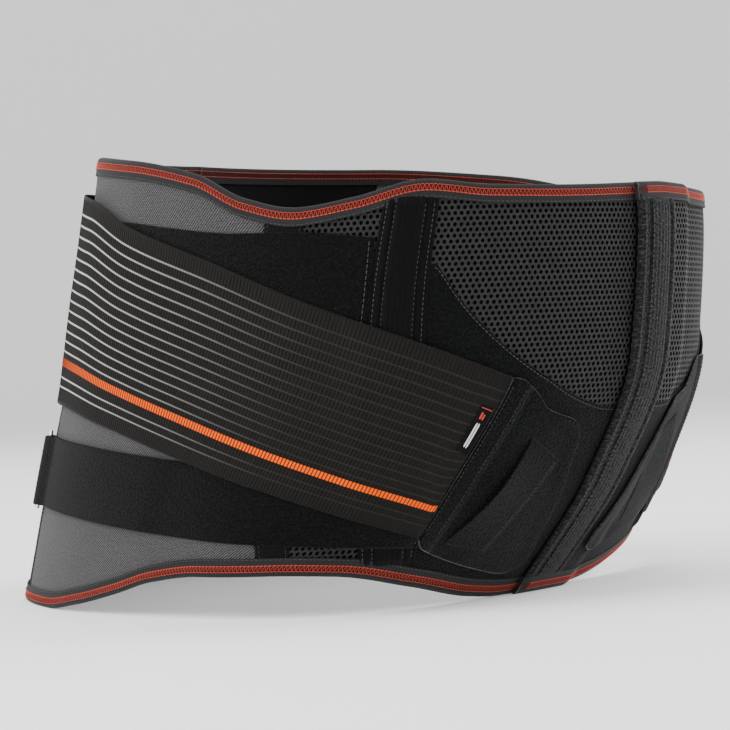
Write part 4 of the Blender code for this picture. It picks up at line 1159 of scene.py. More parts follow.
def edge_stitches(side, upper):
    """Cover stitch: two chained rows with a zigzag between them, on both faces of the tape."""
    word = WORDS[side]
    label = "top" if upper else "bottom"
    near, far = STRIPE_DEPTH - STRIPE_REACH, STRIPE_DEPTH + STRIPE_REACH
    beside = [(0.04, near, 0.0), (0.5, near - 0.15, 0.18), (0.96, near, 0.0)]
    inside = [(s, d, -r) for s, d, r in beside]
    outer, inner = TAPE_OUTSIDE + 0.1, TAPE_INSIDE - 0.05
    for shape, profile, radius, offset in (
        ("zig", [(0.0, near, 0.0), (0.25, near + 1.2, 0.12), (0.5, far, 0.0)], 0.16, outer),
        ("zag", [(0.5, far, 0.0), (0.75, near + 2.4, 0.12), (1.0, near, 0.0)], 0.16, outer),
        ("near", beside, 0.22, outer),
        ("far", [(0.04, far, 0.0), (0.5, far + 0.15, 0.22), (0.96, far, 0.0)], 0.34, outer),
        ("in_near", inside, 0.25, inner),
        ("in_far", [(s, far, r) for s, _, r in inside], 0.25, inner),
    ):
        rim_thread(
            f"edge_{shape}_{label}_{word}", side, upper, profile, THREAD_REPEAT, radius,
            "orange", offset,
        )
    hem = [(0.1, 9.6, 0.0), (0.5, 9.6, 0.2), (0.9, 9.6, 0.0)]
    rim_thread(f"edge_hem_{label}_{word}", side, upper, hem, 2.6, 0.22, "black", PANEL + 1.0)


for side in WORDS:
    for upper in (True, False):
        edge_binding(side, upper)
        edge_stitches(side, upper)


# ---- Straps, rings and webbing ----

def ribbon(name, path, edges, thick, side, look):
    """A strap along a path of (round, offset) points, between two edge curves of the round.

    Its length and mean width are returned too.
    """
    path = np.asarray(path, float)
    flat = path * (HALF_GIRTH, 1)
    run = np.concatenate([[0], np.cumsum(np.linalg.norm(np.diff(flat, axis=0), axis=-1))])
    along = np.gradient(flat, run, axis=0)
    along /= np.linalg.norm(along, axis=-1, keepdims=True)
    normal = np.stack([-along[:, 1], along[:, 0]], -1)
    low, high = edges(path[:, 0])
    width = (high - low).mean()
    t = graded(width, 3.5, (0.0, 0.2, 0.5, 0.9, 1.4))
    edge = np.minimum(t, 1 - t) * width
    swell = rounded(edge, 0.8) * thick / 2
    z = low[:, None] + (high - low)[:, None] * t
    skins = []
    for sign in (1, -1):
        at = flat[:, None] + sign * normal[:, None] * swell[None, :, None]
        skins.append(on_torso(side * at[..., 0] / HALF_GIRTH, z, at[..., 1]))
    uv = np.stack([np.broadcast_to(run[:, None], z.shape), z], -1)
    return skinned(name, *skins, uv, [LOOKS[look]]), run[-1], width


def half_turn(bar, offset, radius, towards_rear):
    """Points round a ring's bar, from the strap's outer layer to its inner one."""
    turns = np.linspace(math.pi / 2, -math.pi / 2, 13)
    reach = radius / HALF_GIRTH * (1 if towards_rear else -1)
    return np.stack([bar + reach * np.cos(turns), offset + radius * np.sin(turns)], -1)


WIRE = 1.15
RING_CORNER = 2.6
RING_ROOM = 1.2
STRAP_LOW, STRAP_HIGH = 3.35, 4.5
STRAP_OVER_CASING = 6.2
STRAP_OVER_VELOUR = 0.55
STRAP_CLIMB, STRAP_DESCENT = (0.202, 0.218), (0.268, 0.305)
WEBBING_THICK = 1.1
RING_OFFSETS = {"upper": 5.4, "lower": 6.5}
RING_SLACKS = {"upper": 0.35, "lower": 1.3}
# Top edge, width, where the return ends, where it is sewn, and whether it crosses the casing.
STRAPS = {
    "upper": (UPPER_STRAP_TOP, UPPER_STRAP_WIDTH, UPPER_RETURN, 0.3088, False),
    "lower": (LOWER_STRAP_TOP, LOWER_STRAP_WIDTH, LOWER_RETURN, 0.2, True),
}


def strap_edges(label):
    """A function of the round for a strap's low and high edge."""
    top = curve(STRAPS[label][0])
    width = STRAPS[label][1]
    return lambda w: (top(w) - width, top(w))


def strap(label, side):
    """A velour strap from the side casing through its ring and back under itself."""
    word = WORDS[side]
    _, width, back_to, sewn, over = STRAPS[label]
    w = np.linspace(sewn, RING_BAR_FRONT - 0.03, 150)
    offset = STRAP_LOW + (STRAP_HIGH - STRAP_LOW) * ramp(w, back_to - 0.03, back_to + 0.01)
    if over:
        climb = STRAP_OVER_CASING - STRAP_LOW - STRAP_OVER_VELOUR
        offset += STRAP_OVER_VELOUR + climb * ramp(w, *STRAP_CLIMB)
        offset += (STRAP_LOW - STRAP_OVER_CASING) * ramp(w, *STRAP_DESCENT)
    radius = WIRE + RING_SLACKS[label] + STRAP_THICK / 2
    turn = half_turn(RING_BAR_FRONT, RING_OFFSETS[label], radius, True)
    rise_w = np.linspace(RING_BAR_FRONT - 0.028, RING_BAR_FRONT - 0.002, 10)
    rise = offset[-1] + (turn[0, 1] - offset[-1]) * ramp(rise_w, rise_w[0], rise_w[-1])
    fall_w = np.linspace(RING_BAR_FRONT - 0.002, RING_BAR_FRONT - 0.02, 8)
    fall = turn[-1, 1] + (STRAP_LOW - turn[-1, 1]) * (1 - ramp(fall_w, fall_w[-1], fall_w[0]))
    under = np.linspace(RING_BAR_FRONT - 0.022, back_to, 60)
    path = np.concatenate([
        np.stack([w, offset], -1), np.stack([rise_w, rise], -1), turn, np.stack([fall_w, fall], -1),
        np.stack([under, STRAP_LOW + 0 * under], -1),
    ])
    piece, length, _ = ribbon(
        f"{label}_strap_cloth_{word}", path, strap_edges(label), STRAP_THICK, side, "strap"
    )
    cross_side(
        piece,
        (f"{label}_strap_front_{word}", f"{label}_strap_rear_{word}"),
    )
    low, high = strap_edges(label)(np.float64(sewn + 0.005))
    at = np.linspace(low + 2, high - 2, 30)
    base = STRAP_LOW + (0.75 if over else 0.0)
    sew(
        f"{label}_strap_stitch_{word}", side * (sewn + 0.005) + 0 * at, at,
        base + STRAP_THICK / 2 - 0.02, f"front_{word}", "strap_velour",
    )


def ring(label, side):
    """A rectangular wire ring with rounded corners, following the belt's curve."""
    word = WORDS[side]
    low, high = strap_edges(label)(np.float64(RING_BAR_FRONT))
    low, high = low - RING_ROOM - WIRE, high + RING_ROOM + WIRE
    left, right = RING_BAR_FRONT * HALF_GIRTH, RING_BAR_REAR * HALF_GIRTH
    corner = RING_CORNER
    hubs = ((right - corner, high - corner), (left + corner, high - corner),
            (left + corner, low + corner), (right - corner, low + corner))

    def on_corner(k, turn):
        angle = math.pi / 2 * turn
        return np.array(hubs[k]) + corner * np.array((math.cos(angle), math.sin(angle)))

    points = []
    for k in range(4):
        points += [on_corner(k, k + t) for t in np.linspace(0, 1, 7)]
        start, end = points[-1], on_corner((k + 1) % 4, (k + 1) % 4)
        count = 12 if k in (1, 3) else 4
        points += [start + (end - start) * t for t in np.linspace(0, 1, count + 1)[1:-1]]
    points = np.array(points)
    place = on_torso(side * points[:, 0] / HALF_GIRTH, points[:, 1], RING_OFFSETS[label])
    piece = tubes(f"{label}_ring_wire_{word}", place, WIRE, 14, "ring", closed=True)
    body = f"ring_{word}" if label == "lower" else "back"
    attach(piece, body, (f"{label}_ring_{word}",))


def webbing(label, side):
    """The loop that holds the ring's rear bar, sewn into the back panel's edge."""
    word = WORDS[side]
    low, high = strap_edges(label)(np.float64(RING_BAR_FRONT))
    offset = RING_OFFSETS[label]
    radius = WIRE + 0.3 + WEBBING_THICK / 2
    turn = half_turn(RING_BAR_REAR, offset, radius, False)
    out_w = np.linspace(WEBBING_END, RING_BAR_REAR + 0.002, 16)
    out = STRAP_HIGH + (turn[0, 1] - STRAP_HIGH) * (1 - ramp(out_w, RING_BAR_REAR + 0.002, 0.795))
    in_w = np.linspace(RING_BAR_REAR + 0.002, WEBBING_END - 0.002, 14)
    back = STRAP_LOW + (turn[-1, 1] - STRAP_LOW) * (1 - ramp(in_w, RING_BAR_REAR, 0.79))
    path = np.concatenate([np.stack([out_w, out], -1), turn, np.stack([in_w, back], -1)])
    piece, length, width = ribbon(
        f"{label}_webbing_{word}", path, lambda w: (low + 1 + 0 * w, high - 1 + 0 * w),
        WEBBING_THICK, side, "webbing",
    )
    attach(piece, "back", (f"{label}_ring_loop_{word}",))
    at = np.linspace(low + 3, high - 3, 30)
    for k, here in enumerate((0.793, 0.801)):
        sew(
            f"{label}_webbing_stitch_{word}_{k}", side * here + 0 * at, at,
            STRAP_HIGH + WEBBING_THICK / 2, "back", "black_tape",
        )


for side in WORDS:
    for label in ("upper", "lower"):
        ring(label, side)
        strap(label, side)
        webbing(label, side)


# ---- Elastic bands ----

BAND_OVER_STRAP, BAND_OVER_CASING, BAND_OVER_RING, BAND_SEWN_DOWN = 4.0, 5.8, 7.9, 3.0
RIB_DEPTH, LINE_RISE, STRIPE_RISE = 0.28, 0.16, 0.1
HANG = 1.3
SEAM_SAG = 0.073
BAND_LENGTH = 432.0
RIB_SAMPLES = 4

band_top_at, band_bottom_at = curve(BAND_TOP), curve(BAND_BOTTOM)


def tab_shift(side):
    """How far a tab's free outline lies from where the right one's would be mirrored."""
    return LEFT_TAB_SHIFT if side > 0 else (0.0, 0.0)


def seam_shift(side):
    """The same for the seam between the band and its tab."""
    return LEFT_SEAM_SHIFT if side > 0 else (0.0, 0.0)


def band_base(w, z, side):
    """The band's inner offset: over straps, casing and rings, and down to its sewn rear end."""
    dw = seam_shift(side)[0]
    on_straps = BAND_OVER_STRAP + 1.2 * ramp(w, 0.47, 0.56)
    casing_middle = (seam(FRONT_CASING_EDGE, z) + seam(REAR_CASING_EDGE, z)) / 2
    over = 1 - ramp(np.abs(w - casing_middle) * HALF_GIRTH, 13.0, 34.0)
    crown = BAND_OVER_CASING + 1.1 * (1 - ramp(z, 78.0, 96.0))
    offset = on_straps + (crown - on_straps) * over
    offset = np.maximum(offset, tab_base(w, z, side) * (1 - ramp(w - dw, 0.19, 0.23)))
    offset += (BAND_OVER_RING - offset) * ramp(w, 0.56, 0.74) * ramp(z, 120, 195)
    offset += (BAND_SEWN_DOWN - offset) * ramp(w, 0.82, 0.91)
    return offset


def tab_base(w, z, side):
    """The tab's inner offset: over its hook patch, and up over the side casing."""
    casing_front = seam(FRONT_CASING_EDGE, z)
    over = ramp(w, casing_front - 0.03, casing_front + 0.008)
    return 3.5 + 2.3 * over + lift(w, side)


def band_shares():
    """Places across the band, close together at each pale line and at the stripe's edges."""
    shares = [0.0, 0.002, 0.006, 0.012, 0.02, 0.04, 0.06]
    for share in LINE_SHARES:
        shares += [share - 0.006, share, share + 0.006, share + 0.024]
    low, high = STRIPE_MIDDLE - STRIPE_HALF, STRIPE_MIDDLE + STRIPE_HALF
    shares += [low - 0.003, low + 0.002, STRIPE_MIDDLE, high - 0.002, high + 0.003]
    shares += [0.93, 0.95, 0.97, 0.98, 0.988, 0.994, 0.998, 1.0]
    return np.unique(np.round(shares, 4))


def band_places(side, s, v):
    """Rounds and heights on the band, at a share along it and a share across it from the top."""
    dw, dz = seam_shift(side)
    at_seam = v + SEAM_SAG * 4 * v * (1 - v)
    start = TAB_SEAM[1][0] + (TAB_SEAM[0][0] - TAB_SEAM[1][0]) * at_seam + dw + 0.4 / HALF_GIRTH
    w = start + (BAND_REAR_END - start) * s
    moved = w - dw * (1 - ramp(w, 0.25, 0.45))
    rise = dz * (1 - ramp(w, 0.2, 0.6))
    down = v + SEAM_SAG * (1 - s) * 4 * v * (1 - v)
    z = band_top_at(moved) + (band_bottom_at(moved) - band_top_at(moved)) * down + rise
    return w, z


def elastic_band(side):
    """Ribs and raised lines; between the side and the back it hangs lower towards its top."""
    word = WORDS[side]
    count = int(BAND_LENGTH / RIB_PITCH * RIB_SAMPLES)
    s, v = np.meshgrid(np.linspace(0, 1, count + 1), band_shares(), indexing="ij")
    w, z = band_places(side, s, v)
    base = band_base(w, z, side)
    drape = ramp(w, 0.46, 0.56) * (1 - ramp(w, 0.68, 0.80)) * (1 - ramp(1 - v, 0.0, 0.2))
    base = base - HANG * drape
    run = s * BAND_LENGTH
    ribs = 0.5 + 0.5 * np.cos(2 * math.pi * run / RIB_PITCH)
    selvedge = ramp(np.minimum(v, 1 - v), 0.012, 0.02)
    raised = np.zeros_like(v)
    for share in LINE_SHARES:
        raised = np.maximum(raised, np.exp(-(((v - share) / 0.0032) ** 2)))
    stripe = (np.abs(v - STRIPE_MIDDLE) < STRIPE_HALF).astype(float)
    cut = RIB_DEPTH * (1 - ribs) * selvedge
    outer = base + BAND_THICK - cut + LINE_RISE * raised + STRIPE_RISE * stripe
    edge = np.minimum(np.minimum(v, 1 - v) * BAND_FACE, np.minimum(s, 1 - s) * BAND_LENGTH)
    skins = skins_of(side * w, z, base, outer, edge, 0.7, base + BAND_THICK / 2)
    piece = skinned(
        f"band_cloth_{word}", *skins, np.stack([run, v * BAND_FACE], -1), [LOOKS["elastic"]]
    )
    cross_side(piece, (f"band_front_{word}", f"band_rear_{word}"))
    at = np.linspace(0.03, 0.97, 60)
    for k, share in enumerate((0.986, 0.972)):
        w, z = band_places(side, share + 0 * at, at)
        sew(
            f"band_end_stitch_{word}_{k}", side * w, z,
            lambda a, b: band_base(np.abs(a), b, side) + BAND_THICK + 0.02, "back",
            "ribbed_elastic",
        )


for side in WORDS:
    elastic_band(side)


# ---- Cloth cut to an outline ----

def smooth_outline(corners, spacing=2.0, sharp=()):
    """A closed curve through flat corners; a corner whose number is in sharp stays sharp."""
    corners = np.asarray(corners, float)
    count = len(corners)
    points = []
    for k in range(count):
        p0, p1, p2, p3 = (corners[(k + d) % count] for d in (-1, 0, 1, 2))
        before = (p2 - p1) if k in sharp else (p2 - p0) / 2
        after = (p2 - p1) if (k + 1) % count in sharp else (p3 - p1) / 2
        steps = max(int(np.linalg.norm(p2 - p1) / spacing), 1)
        points += [hermite(t, p1, p2, before, after) for t in np.arange(steps) / steps]
    return np.array(points)


def signed_area(loop):
    """Positive when the loop runs anticlockwise."""
    x, y = loop[:, 0], loop[:, 1]
    return 0.5 * (x * np.roll(y, -1) - y * np.roll(x, -1)).sum()


def distance_to(loop, places):
    """The distance from each flat place to a closed loop."""
    a, b = loop, np.roll(loop, -1, 0)
    nearest = np.full(len(places), 1e9)
    for p, q in zip(a, b):
        along = q - p
        t = np.clip(((places - p) @ along) / max(along @ along, 1e-9), 0, 1)
        nearest = np.minimum(nearest, np.linalg.norm(places - p - t[:, None] * along, axis=-1))
    return nearest


TAB_INSETS = (0.3, 0.8, 1.5, 2.2, 3.0, 4.2)
STRIP_INSETS = (0.8, 2.0)


def cut_cloth(name, outline, offsets, side, looks, step, insets=TAB_INSETS, radius=0.9):
    """A closed sheet cut to a flat outline; offsets(w, z, edge) gives its inner and outer offset.

    insets are the distances from the outline of the rings of points along it; looks are those of
    the face and, if there is a second one, of the cut edge and of a thin painted highlight along
    the outline on the face.
    """
    if signed_area(outline) < 0:
        outline = outline[::-1]
    along = np.roll(outline, -1, 0) - np.roll(outline, 1, 0)
    along /= np.linalg.norm(along, axis=-1, keepdims=True)
    inward = np.stack([-along[:, 1], along[:, 0]], -1)
    low, high = outline.min(0), outline.max(0)
    xs = np.arange(low[0] + step / 2, high[0], step)
    ys = np.arange(low[1] + step / 2, high[1], step)
    grid = np.stack(np.meshgrid(xs, ys), -1).reshape(-1, 2)
    extra = [grid[distance_to(outline, grid) > insets[-1] + step * 0.5]]
    for inset in insets:
        ring_points = outline + inward * inset
        extra.append(ring_points[distance_to(outline, ring_points) > inset * 0.93])
    places = np.concatenate([outline] + extra)
    count = len(outline)
    cut = delaunay_2d_cdt(
        [Vector(p) for p in places], [], [list(range(count))], 0, 1e-5, True
    )
    flat = np.array([(p.x, p.y) for p in cut[0]])
    tris = np.array([f for f, inside in zip(cut[2], cut[5]) if inside])
    used, tris = np.unique(tris, return_inverse=True)
    tris = tris.reshape(-1, 3)
    flat = flat[used]
    edge = distance_to(outline, flat)
    w, z = flat[:, 0] / HALF_GIRTH, flat[:, 1]
    points = np.concatenate(skins_of(side * w, z, *offsets(w, z, edge), edge, radius))
    size = len(flat)
    a, b = open_border(tris).T
    rim = np.stack([b, a, a + size, b + size], -1)
    # The outer skin's faces nearest the outline take the last look; on the tab this is a thin
    # painted highlight along its edge, beside the real cut edge on the rim.
    cut_edge_and_highlight_faces = edge[tris].max(1) < insets[0] + 0.05
    faces = [tris[~cut_edge_and_highlight_faces], tris[cut_edge_and_highlight_faces], tris[:, ::-1] + size, rim]
    if side < 0:
        faces = [f[:, ::-1] for f in faces]
    last = len(looks) - 1
    return make_piece(
        name, points, faces, np.concatenate([flat, flat]), [LOOKS[look] for look in looks],
        (0, last, 0, last),
    )


def tab_points(side):
    """The tab's corners as flat places: its seam's low and high end, then round its outline."""
    ends = np.array(TAB_SEAM) + seam_shift(side)
    return np.concatenate([ends, np.array(TAB_OUTLINE) + tab_shift(side)]) * (HALF_GIRTH, 1)


def from_seam(w, z, side):
    """The distance from the tab's sewn rear seam, in flat millimetres."""
    low, high = tab_points(side)[:2]
    along = (high - low) / np.linalg.norm(high - low)
    across = np.array([-along[1], along[0]])
    return np.abs((w * HALF_GIRTH - low[0]) * across[0] + (z - low[1]) * across[1])


RIDGE_WIDTH, RIDGE_HEIGHT = 11.0, 1.25
TAB_GAPE = {1: 1.8, -1: 1.5}
BEND, BEND_SLOPE, BEND_OFFSET = (0.5, 13), 0.26, 5.0


def bend_tab(piece, side, nodes=()):
    """Bake the tab's piece into place; the line beside its seam where the tab bends is worked out
    but not used.
    """
    seam_w, seam_z = np.array(TAB_SEAM).mean(0) + seam_shift(side)
    start = on_torso(side * (seam_w - BEND[0] / HALF_GIRTH), seam_z, BEND_OFFSET)
    end = on_torso(
        side * (seam_w - BEND[1] / HALF_GIRTH), seam_z - BEND[1] * BEND_SLOPE, BEND_OFFSET
    )
    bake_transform(piece)
    finished(nodes)


def tab_surface(w, z, side):
    """The tab's outer offset: a folded ridge beside the seam, then the flat tab."""
    away = from_seam(w, z, side)
    ridge = RIDGE_HEIGHT * ramp(away, -1.0, 2.2)
    ridge *= 1 - ramp(away, RIDGE_WIDTH, RIDGE_WIDTH + 3.0)
    ridge -= 0.3 * bump(away, RIDGE_WIDTH + 4.0, 3.0)
    return tab_base(w, z, side) + TAB_THICK + ridge


def pull_tab(side):
    """Velour with a cut edge that stands a little off the panel under it, and a thin painted
    highlight along its outline.
    """
    word = WORDS[side]
    outline = smooth_outline(tab_points(side), 1.5, sharp=(0, 1))

    def offsets(w, z, edge):
        inner = tab_base(w, z, side)
        free = (1 - ramp(edge, 0, 12.0)) * ramp(from_seam(w, z, side), 20, 50)
        raised = free * (0.5 * np.sin(w * 90.0) + TAB_GAPE[side])
        return inner + raised, tab_surface(w, z, side) + raised

    piece = cut_cloth(
        f"pull_tab_cloth_{word}", outline, offsets, side, ("velour", "cut"), 2.0
    )
    bend_tab(piece, side, (f"pull_tab_{word}",))


def hook_patch(side):
    """The tab's hook patch, its outline drawn in towards its middle."""
    word = WORDS[side]
    points = tab_points(side)
    outline = smooth_outline(points * 0.86 + points.mean(0) * 0.14, 3.0, sharp=(0, 1))

    def offsets(w, z, edge):
        top = tab_base(w, z, side) - 0.05
        return top - 0.45, top

    piece = cut_cloth(f"hook_cloth_{word}", outline, offsets, side, ("hook",), 4.0, STRIP_INSETS)
    attach(piece, f"tab_{word}", (f"hook_patch_{word}",))


POCKET_BULGE = {1: 3.2, -1: 5.5}
POCKET_SUNK = -0.5


POCKET_CUP, POCKET_SIZE = 0.10, (28.0, 57.0)
POCKET_INSET = 0.07


def pocket_place(across, along, side):
    """Rounds and heights on the pocket, whose mouth is cut in a hollow curve."""
    across = across - POCKET_CUP * np.sin(math.pi * along) * across
    sewn, mouth = (
        np.array(low) + (np.array(high) - np.array(low)) * along[..., None]
        for low, high in (POCKET_SEWN, POCKET_MOUTH)
    )
    place = sewn + (mouth - sewn) * across[..., None]
    dw, dz = tab_shift(side)
    return place[..., 0] + dw, place[..., 1] + dz


def pocket_inner(w, z, across, along, side):
    """The pocket's inner offset, which bulges towards the mouth."""
    bulge = POCKET_BULGE[side] * across**1.6 * np.sin(math.pi * along) ** 0.9
    return tab_surface(w, z, side) + POCKET_SUNK + bulge


def finger_pocket(side):
    """A patch sewn along three sides; its mouth, towards the seam, gapes in a curve."""
    word = WORDS[side]
    across, along = np.meshgrid(np.linspace(0, 1, 40), np.linspace(0, 1, 56), indexing="ij")
    w, z = pocket_place(across, along, side)
    wide, tall = POCKET_SIZE
    ends = np.minimum(along, 1 - along) * tall
    edge = np.minimum(np.minimum(across, 1 - across) * wide, ends)
    dent = -0.25 * bump(np.minimum(across * wide, ends), 2.0, 1.0)
    inner = pocket_inner(w, z, across, along, side)
    skins = skins_of(side * w, z, inner, inner + POCKET_THICK + dent, edge, 0.9)
    # The pocket's rim takes the cut-edge colour, whose lightness is partly a painted highlight.
    piece = skinned(
        f"finger_pocket_cloth_{word}", *skins, flat_places(w, z), [LOOKS["velour"], LOOKS["cut"]]
    )
    attach(piece, f"tab_{word}", (f"finger_pocket_{word}",))
    t = np.linspace(0, 1, 60)
    along = 0.03 + 0.94 * t
    w, z = pocket_place(POCKET_INSET + 0 * t, along, side)
    offset = pocket_inner(w, z, POCKET_INSET, along, side) + POCKET_THICK - 0.15
    order = np.argsort(z)
    sew(
        f"pocket_stitch_sewn_{word}", side * w, z,
        lambda _, height: np.interp(height, z[order], offset[order]), f"tab_{word}",
        "black_velour", "grey_thread", 2.4, 0.7, 0.16,
    )


def tab_stitches(side):
    """Rows of stitches that hold the tab to the band's end and its rolled ridge."""
    word = WORDS[side]
    low, high = tab_points(side)[:2]
    step = (high - low) / np.linalg.norm(high - low)
    forwards = np.array([-step[1], step[0]])
    if forwards[0] > 0:
        forwards = -forwards
    t = np.linspace(0.04, 0.95, 60)[:, None]
    for k, away in enumerate((1.6, 10.2)):
        flat = low + (high - low) * t + forwards * away
        w, z = flat[:, 0] / HALF_GIRTH, flat[:, 1]
        run = stitches(
            f"tab_stitch_{word}_{k}", side * w, z,
            lambda a, b: tab_surface(np.abs(a), b, side) - 0.05, "black", 2.6,
        )
        bend_tab(run, side)


# Each mark's name and look, the shares down the label where it starts and ends, and its share
# across from the rear; a mark that starts and ends at one share runs across.
LABEL_MARKS = (
    ("label_end_line", "orange", 0.05, 0.05, 0.06), ("label_bar_a", "orange", 0.13, 0.28, 0.34),
    ("label_bar_b", "orange", 0.16, 0.28, 0.54), ("label_bar_c", "white", 0.36, 0.88, 0.36),
    ("label_bar_d", "white", 0.36, 0.88, 0.54),
)


def label_tag():
    """A small woven label with plain bars and an orange end line."""
    side = -1
    corners = np.array([(w * HALF_GIRTH, z) for w, z in LABEL_CORNERS])
    outline = smooth_outline(corners, 1.0, sharp=(0, 1, 2, 3))

    def offsets(w, z, edge):
        base = band_base(w, z, side) + BAND_THICK + 0.1
        return base, base + 0.55

    piece = cut_cloth("label_cloth", outline, offsets, side, ("label",), 1.5, (0.4, 0.9), 0.4)
    attach(piece, "front_right", ("label",))
    top_rear, top_front, low_front, low_rear = corners
    for name, look, start, end, inset in LABEL_MARKS:
        lines = []
        for t in np.linspace(0, 1, 12):
            down = start + (end - start) * t
            across = inset + (1 - 2 * inset) * t if start == end else inset
            rear = top_rear + (low_rear - top_rear) * down
            front = top_front + (low_front - top_front) * down
            x, z = rear + (front - rear) * across
            w = x / HALF_GIRTH
            lines.append(on_torso(side * w, z, band_base(w, z, side) + BAND_THICK + 0.72))
        bar = tubes(name, np.array(lines), 0.25 if start == end else 0.5, 8, look, 0.3)
        attach(bar, "front_right")


def closure_strips():
    """Hook under the outer half and loop on the inner half, where they overlap."""
    low, high = 12.0, top_edge(0) - 12.0
    left, right = -0.033, 0.024
    corners = np.array([(left, low), (right, low), (right, high), (left, high)])
    outline = smooth_outline(corners * (HALF_GIRTH, 1), 4.0, sharp=(0, 1, 2, 3))
    for kind, bottom, body in (
        ("hook", CLOSURE_LIFT - 0.8, "front_left"), ("loop", PANEL + 0.1, "front_right")
    ):
        strip = cut_cloth(
            f"closure_{kind}_cloth", outline,
            lambda w, z, edge: (bottom + 0 * w, bottom + 0.7 + 0 * w), 1, (kind,), 4.0,
            STRIP_INSETS,
        )
        attach(strip, body, (f"closure_{kind}",))


for side in WORDS:
    pull_tab(side)
    hook_patch(side)
    finger_pocket(side)
    tab_stitches(side)
label_tag()
closure_strips()


# ---- Lumbar pad ----

PAD_HALF_ROUND = 0.12
PAD_HEIGHTS = (62.0, 196.0)
PAD_OFFSETS = (-7.2, -0.5)
PAD_SIZE = (139, 134)
PAD_CORNER, PAD_ROUNDING = 0.16, 0.55
PAD_CHANNELS, CHANNEL_HALF, CHANNEL_DEPTH = (-0.36, 0.0, 0.36), 0.06, 2.2
PAD_FRAMES = 20


def inflate(piece, limit):
    """Swell a closed mesh a little with Blender's cloth, and keep every point near its start."""
    modifier = piece.modifiers.new("Cloth", "CLOTH")
    settings = modifier.settings
    settings.quality = 5
    settings.mass = 0.25
    settings.use_pressure = True
    settings.uniform_pressure_force = 3.0
    settings.tension_stiffness = 30
    settings.compression_stiffness = 30
    settings.bending_stiffness = 2.0
    settings.effector_weights.gravity = 0.0
    modifier.point_cache.frame_start, modifier.point_cache.frame_end = 1, PAD_FRAMES
    scene = bpy.context.scene
    for step in range(1, PAD_FRAMES + 1):
        scene.frame_set(step)
    swollen = piece.evaluated_get(bpy.context.evaluated_depsgraph_get()).data
    before = np.array([v.co for v in piece.data.vertices])
    after = np.array([v.co for v in swollen.vertices])
    piece.modifiers.remove(modifier)
    scene.frame_set(1)
    move = after - before
    size = np.linalg.norm(move, axis=-1, keepdims=True)
    move *= np.minimum(1, limit / np.maximum(size, 1e-9))
    piece.data.vertices.foreach_set("co", (before + move).astype(np.float32).ravel())
    piece.data.update()


def lumbar_pad():
    """A foam pad in a knitted cover with three sewn channels, inside the back panel."""
    s, t = np.meshgrid(np.linspace(0, 1, 40), np.linspace(0, 1, 36))
    x, y = 2 * s - 1, 2 * t - 1

    def drawn_in(far):
        return 1 - PAD_CORNER * (1 - np.sqrt(1 - PAD_ROUNDING * far**4))

    low, high = PAD_HEIGHTS
    w = 1 + PAD_HALF_ROUND * x * drawn_in(y)
    z = (low + high) / 2 + (high - low) / 2 * y * drawn_in(x)
    edge = np.minimum(np.minimum(s, 1 - s) * PAD_SIZE[0], np.minimum(t, 1 - t) * PAD_SIZE[1])
    inner, outer = PAD_OFFSETS
    puff = ramp(edge, 0.0, 16.0)
    front_skin = on_torso(w, z, outer - 1.8 + (inner + 2.2 - outer) * (0.25 + 0.75 * puff))
    back_skin = on_torso(w, z, outer - 0.3 + 0 * w)
    piece = skinned("lumbar_pad_cloth", back_skin, front_skin, flat_places(w, z), [LOOKS["pad"]])
    inflate(piece, 1.6 * MM)
    count = len(piece.data.vertices) // 2
    points = np.array([v.co for v in piece.data.vertices])
    across = (w.ravel() - 1) / PAD_HALF_ROUND
    channels = sum(bump(across, middle, CHANNEL_HALF) for middle in PAD_CHANNELS)
    normals = points[:count] - points[count:]
    normals /= np.linalg.norm(normals, axis=-1, keepdims=True)
    points[count:] += normals * (channels * CHANNEL_DEPTH * MM * puff.ravel())[:, None]
    piece.data.vertices.foreach_set("co", points.astype(np.float32).ravel())
    attach(piece, "back", ("lumbar_pad",))


lumbar_pad()


# ---- Room, light and camera ----

CAMERA_AZIMUTH, CAMERA_ELEVATION, CAMERA_ROLL = -51.9, 1.23, 2.64
CAMERA_PLACE = (-1219.4, -988.5, 151.1)
FOCAL_PIXELS, FRAME_PIXELS, SENSOR = 2511.0, 730.0, 36.0
FRAME_CENTRE = (399.8, 396.2)

# In metres and watts.
FLOOR_RADIUS, FLOOR_BEND, BACKDROP_TOP, FLOOR_SIDES = 5.0, 1.5, 5.0, 64
FLOOR_GREY, FLOOR_GLOW = 0.88, 0.13
LIGHT_TARGET = (0, 0, 0.13)
WORLD_LIGHT = 0.9
LIGHTS = (
    ("light_rear_side", (-1.5, 0.7, 1.3), (1.4, 1.4), 46),
    ("light_front", (-0.6, -2.2, 1.5), (1.6, 1.2), 22),
    ("light_left_side", (1.9, -1.3, 1.1), (1.4, 1.4), 62),
    ("light_back", (0.6, 2.2, 1.5), (1.6, 1.2), 18),
    ("light_top", (0, 0, 2.4), (2.0, 2.0), 26),
)


def pale_floor():
    n = Nodes("pale_floor", 0.9)
    shade = n.times(n.noise(180.0, 2.0), 0.3)
    n.colour(n.mix(shade, (FLOOR_GREY,) * 3, (FLOOR_GREY * 0.97,) * 3))
    n.shader.inputs["Emission Color"].default_value = (1, 1, 1, 1)
    n.shader.inputs["Emission Strength"].default_value = FLOOR_GLOW
    return n.material


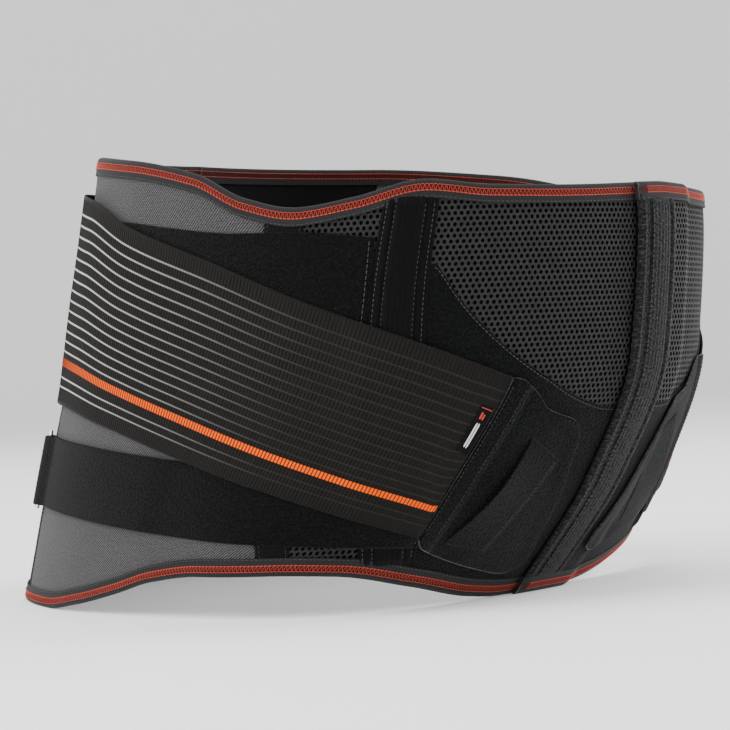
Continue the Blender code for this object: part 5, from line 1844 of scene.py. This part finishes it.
def room():
    """A pale floor that curves up into a pale backdrop all round."""
    mesh = bpy.data.meshes.new("floor")
    shape = bmesh.new()
    profile = [(FLOOR_RADIUS, 0.0)]
    profile += [
        (FLOOR_RADIUS + FLOOR_BEND * math.sin(t), FLOOR_BEND * (1 - math.cos(t)))
        for t in np.linspace(0.1, math.pi / 2, 12)
    ]
    profile.append((FLOOR_RADIUS + FLOOR_BEND, BACKDROP_TOP))
    turns = np.linspace(0, 2 * math.pi, FLOOR_SIDES + 1)[:-1]
    rings = [
        [shape.verts.new((r * math.cos(a), r * math.sin(a), h)) for a in turns]
        for r, h in profile
    ]
    hub = shape.verts.new((0, 0, 0))
    for k in range(FLOOR_SIDES):
        nxt = (k + 1) % FLOOR_SIDES
        shape.faces.new([hub, rings[0][k], rings[0][nxt]])
        for first, second in zip(rings, rings[1:]):
            shape.faces.new([first[k], first[nxt], second[nxt], second[k]])
    bmesh.ops.recalc_face_normals(shape, faces=shape.faces)
    shape.to_mesh(mesh)
    shape.free()
    for face in mesh.polygons:
        face.use_smooth = True
    mesh.uv_layers.new(name="flat")
    mesh.materials.append(pale_floor())
    floor = bpy.data.objects.new("floor", mesh)
    bpy.context.scene.collection.objects.link(floor)


def lights():
    """Soft boxes round the belt, and an even white world."""
    for name, place, size, power in LIGHTS:
        lamp = bpy.data.lights.new(name, "AREA")
        lamp.shape = "RECTANGLE"
        lamp.size, lamp.size_y = size
        lamp.energy = power
        made = bpy.data.objects.new(name, lamp)
        bpy.context.scene.collection.objects.link(made)
        made.location = place
        away = Vector(place) - Vector(LIGHT_TARGET)
        made.rotation_euler = away.to_track_quat("Z", "Y").to_euler()
    world = bpy.data.worlds.new("studio")
    world.use_nodes = True
    background = world.node_tree.nodes["Background"]
    background.inputs["Color"].default_value = (1, 1, 1, 1)
    background.inputs["Strength"].default_value = WORLD_LIGHT
    bpy.context.scene.world = world


def camera():
    """The camera, from its angles, place and focal length in pixels."""
    azimuth, elevation, roll = (
        math.radians(a) for a in (CAMERA_AZIMUTH, CAMERA_ELEVATION, CAMERA_ROLL)
    )
    back = Vector((
        math.sin(azimuth) * math.cos(elevation), -math.cos(azimuth) * math.cos(elevation),
        math.sin(elevation),
    ))
    level = Vector((math.cos(azimuth), math.sin(azimuth), 0))
    upright = back.cross(level)
    right = level * math.cos(roll) - upright * math.sin(roll)
    up = upright * math.cos(roll) + level * math.sin(roll)
    lens = bpy.data.cameras.new("camera")
    lens.sensor_width = SENSOR
    lens.lens = FOCAL_PIXELS / FRAME_PIXELS * SENSOR
    lens.shift_x = 0.5 - FRAME_CENTRE[0] / FRAME_PIXELS
    lens.shift_y = FRAME_CENTRE[1] / FRAME_PIXELS - 0.5
    made = bpy.data.objects.new("camera", lens)
    bpy.context.scene.collection.objects.link(made)
    turned = Matrix((right, up, back)).transposed().to_4x4()
    made.matrix_world = Matrix.Translation(Vector(CAMERA_PLACE) * MM) @ turned
    bpy.context.scene.camera = made


room()
lights()
camera()
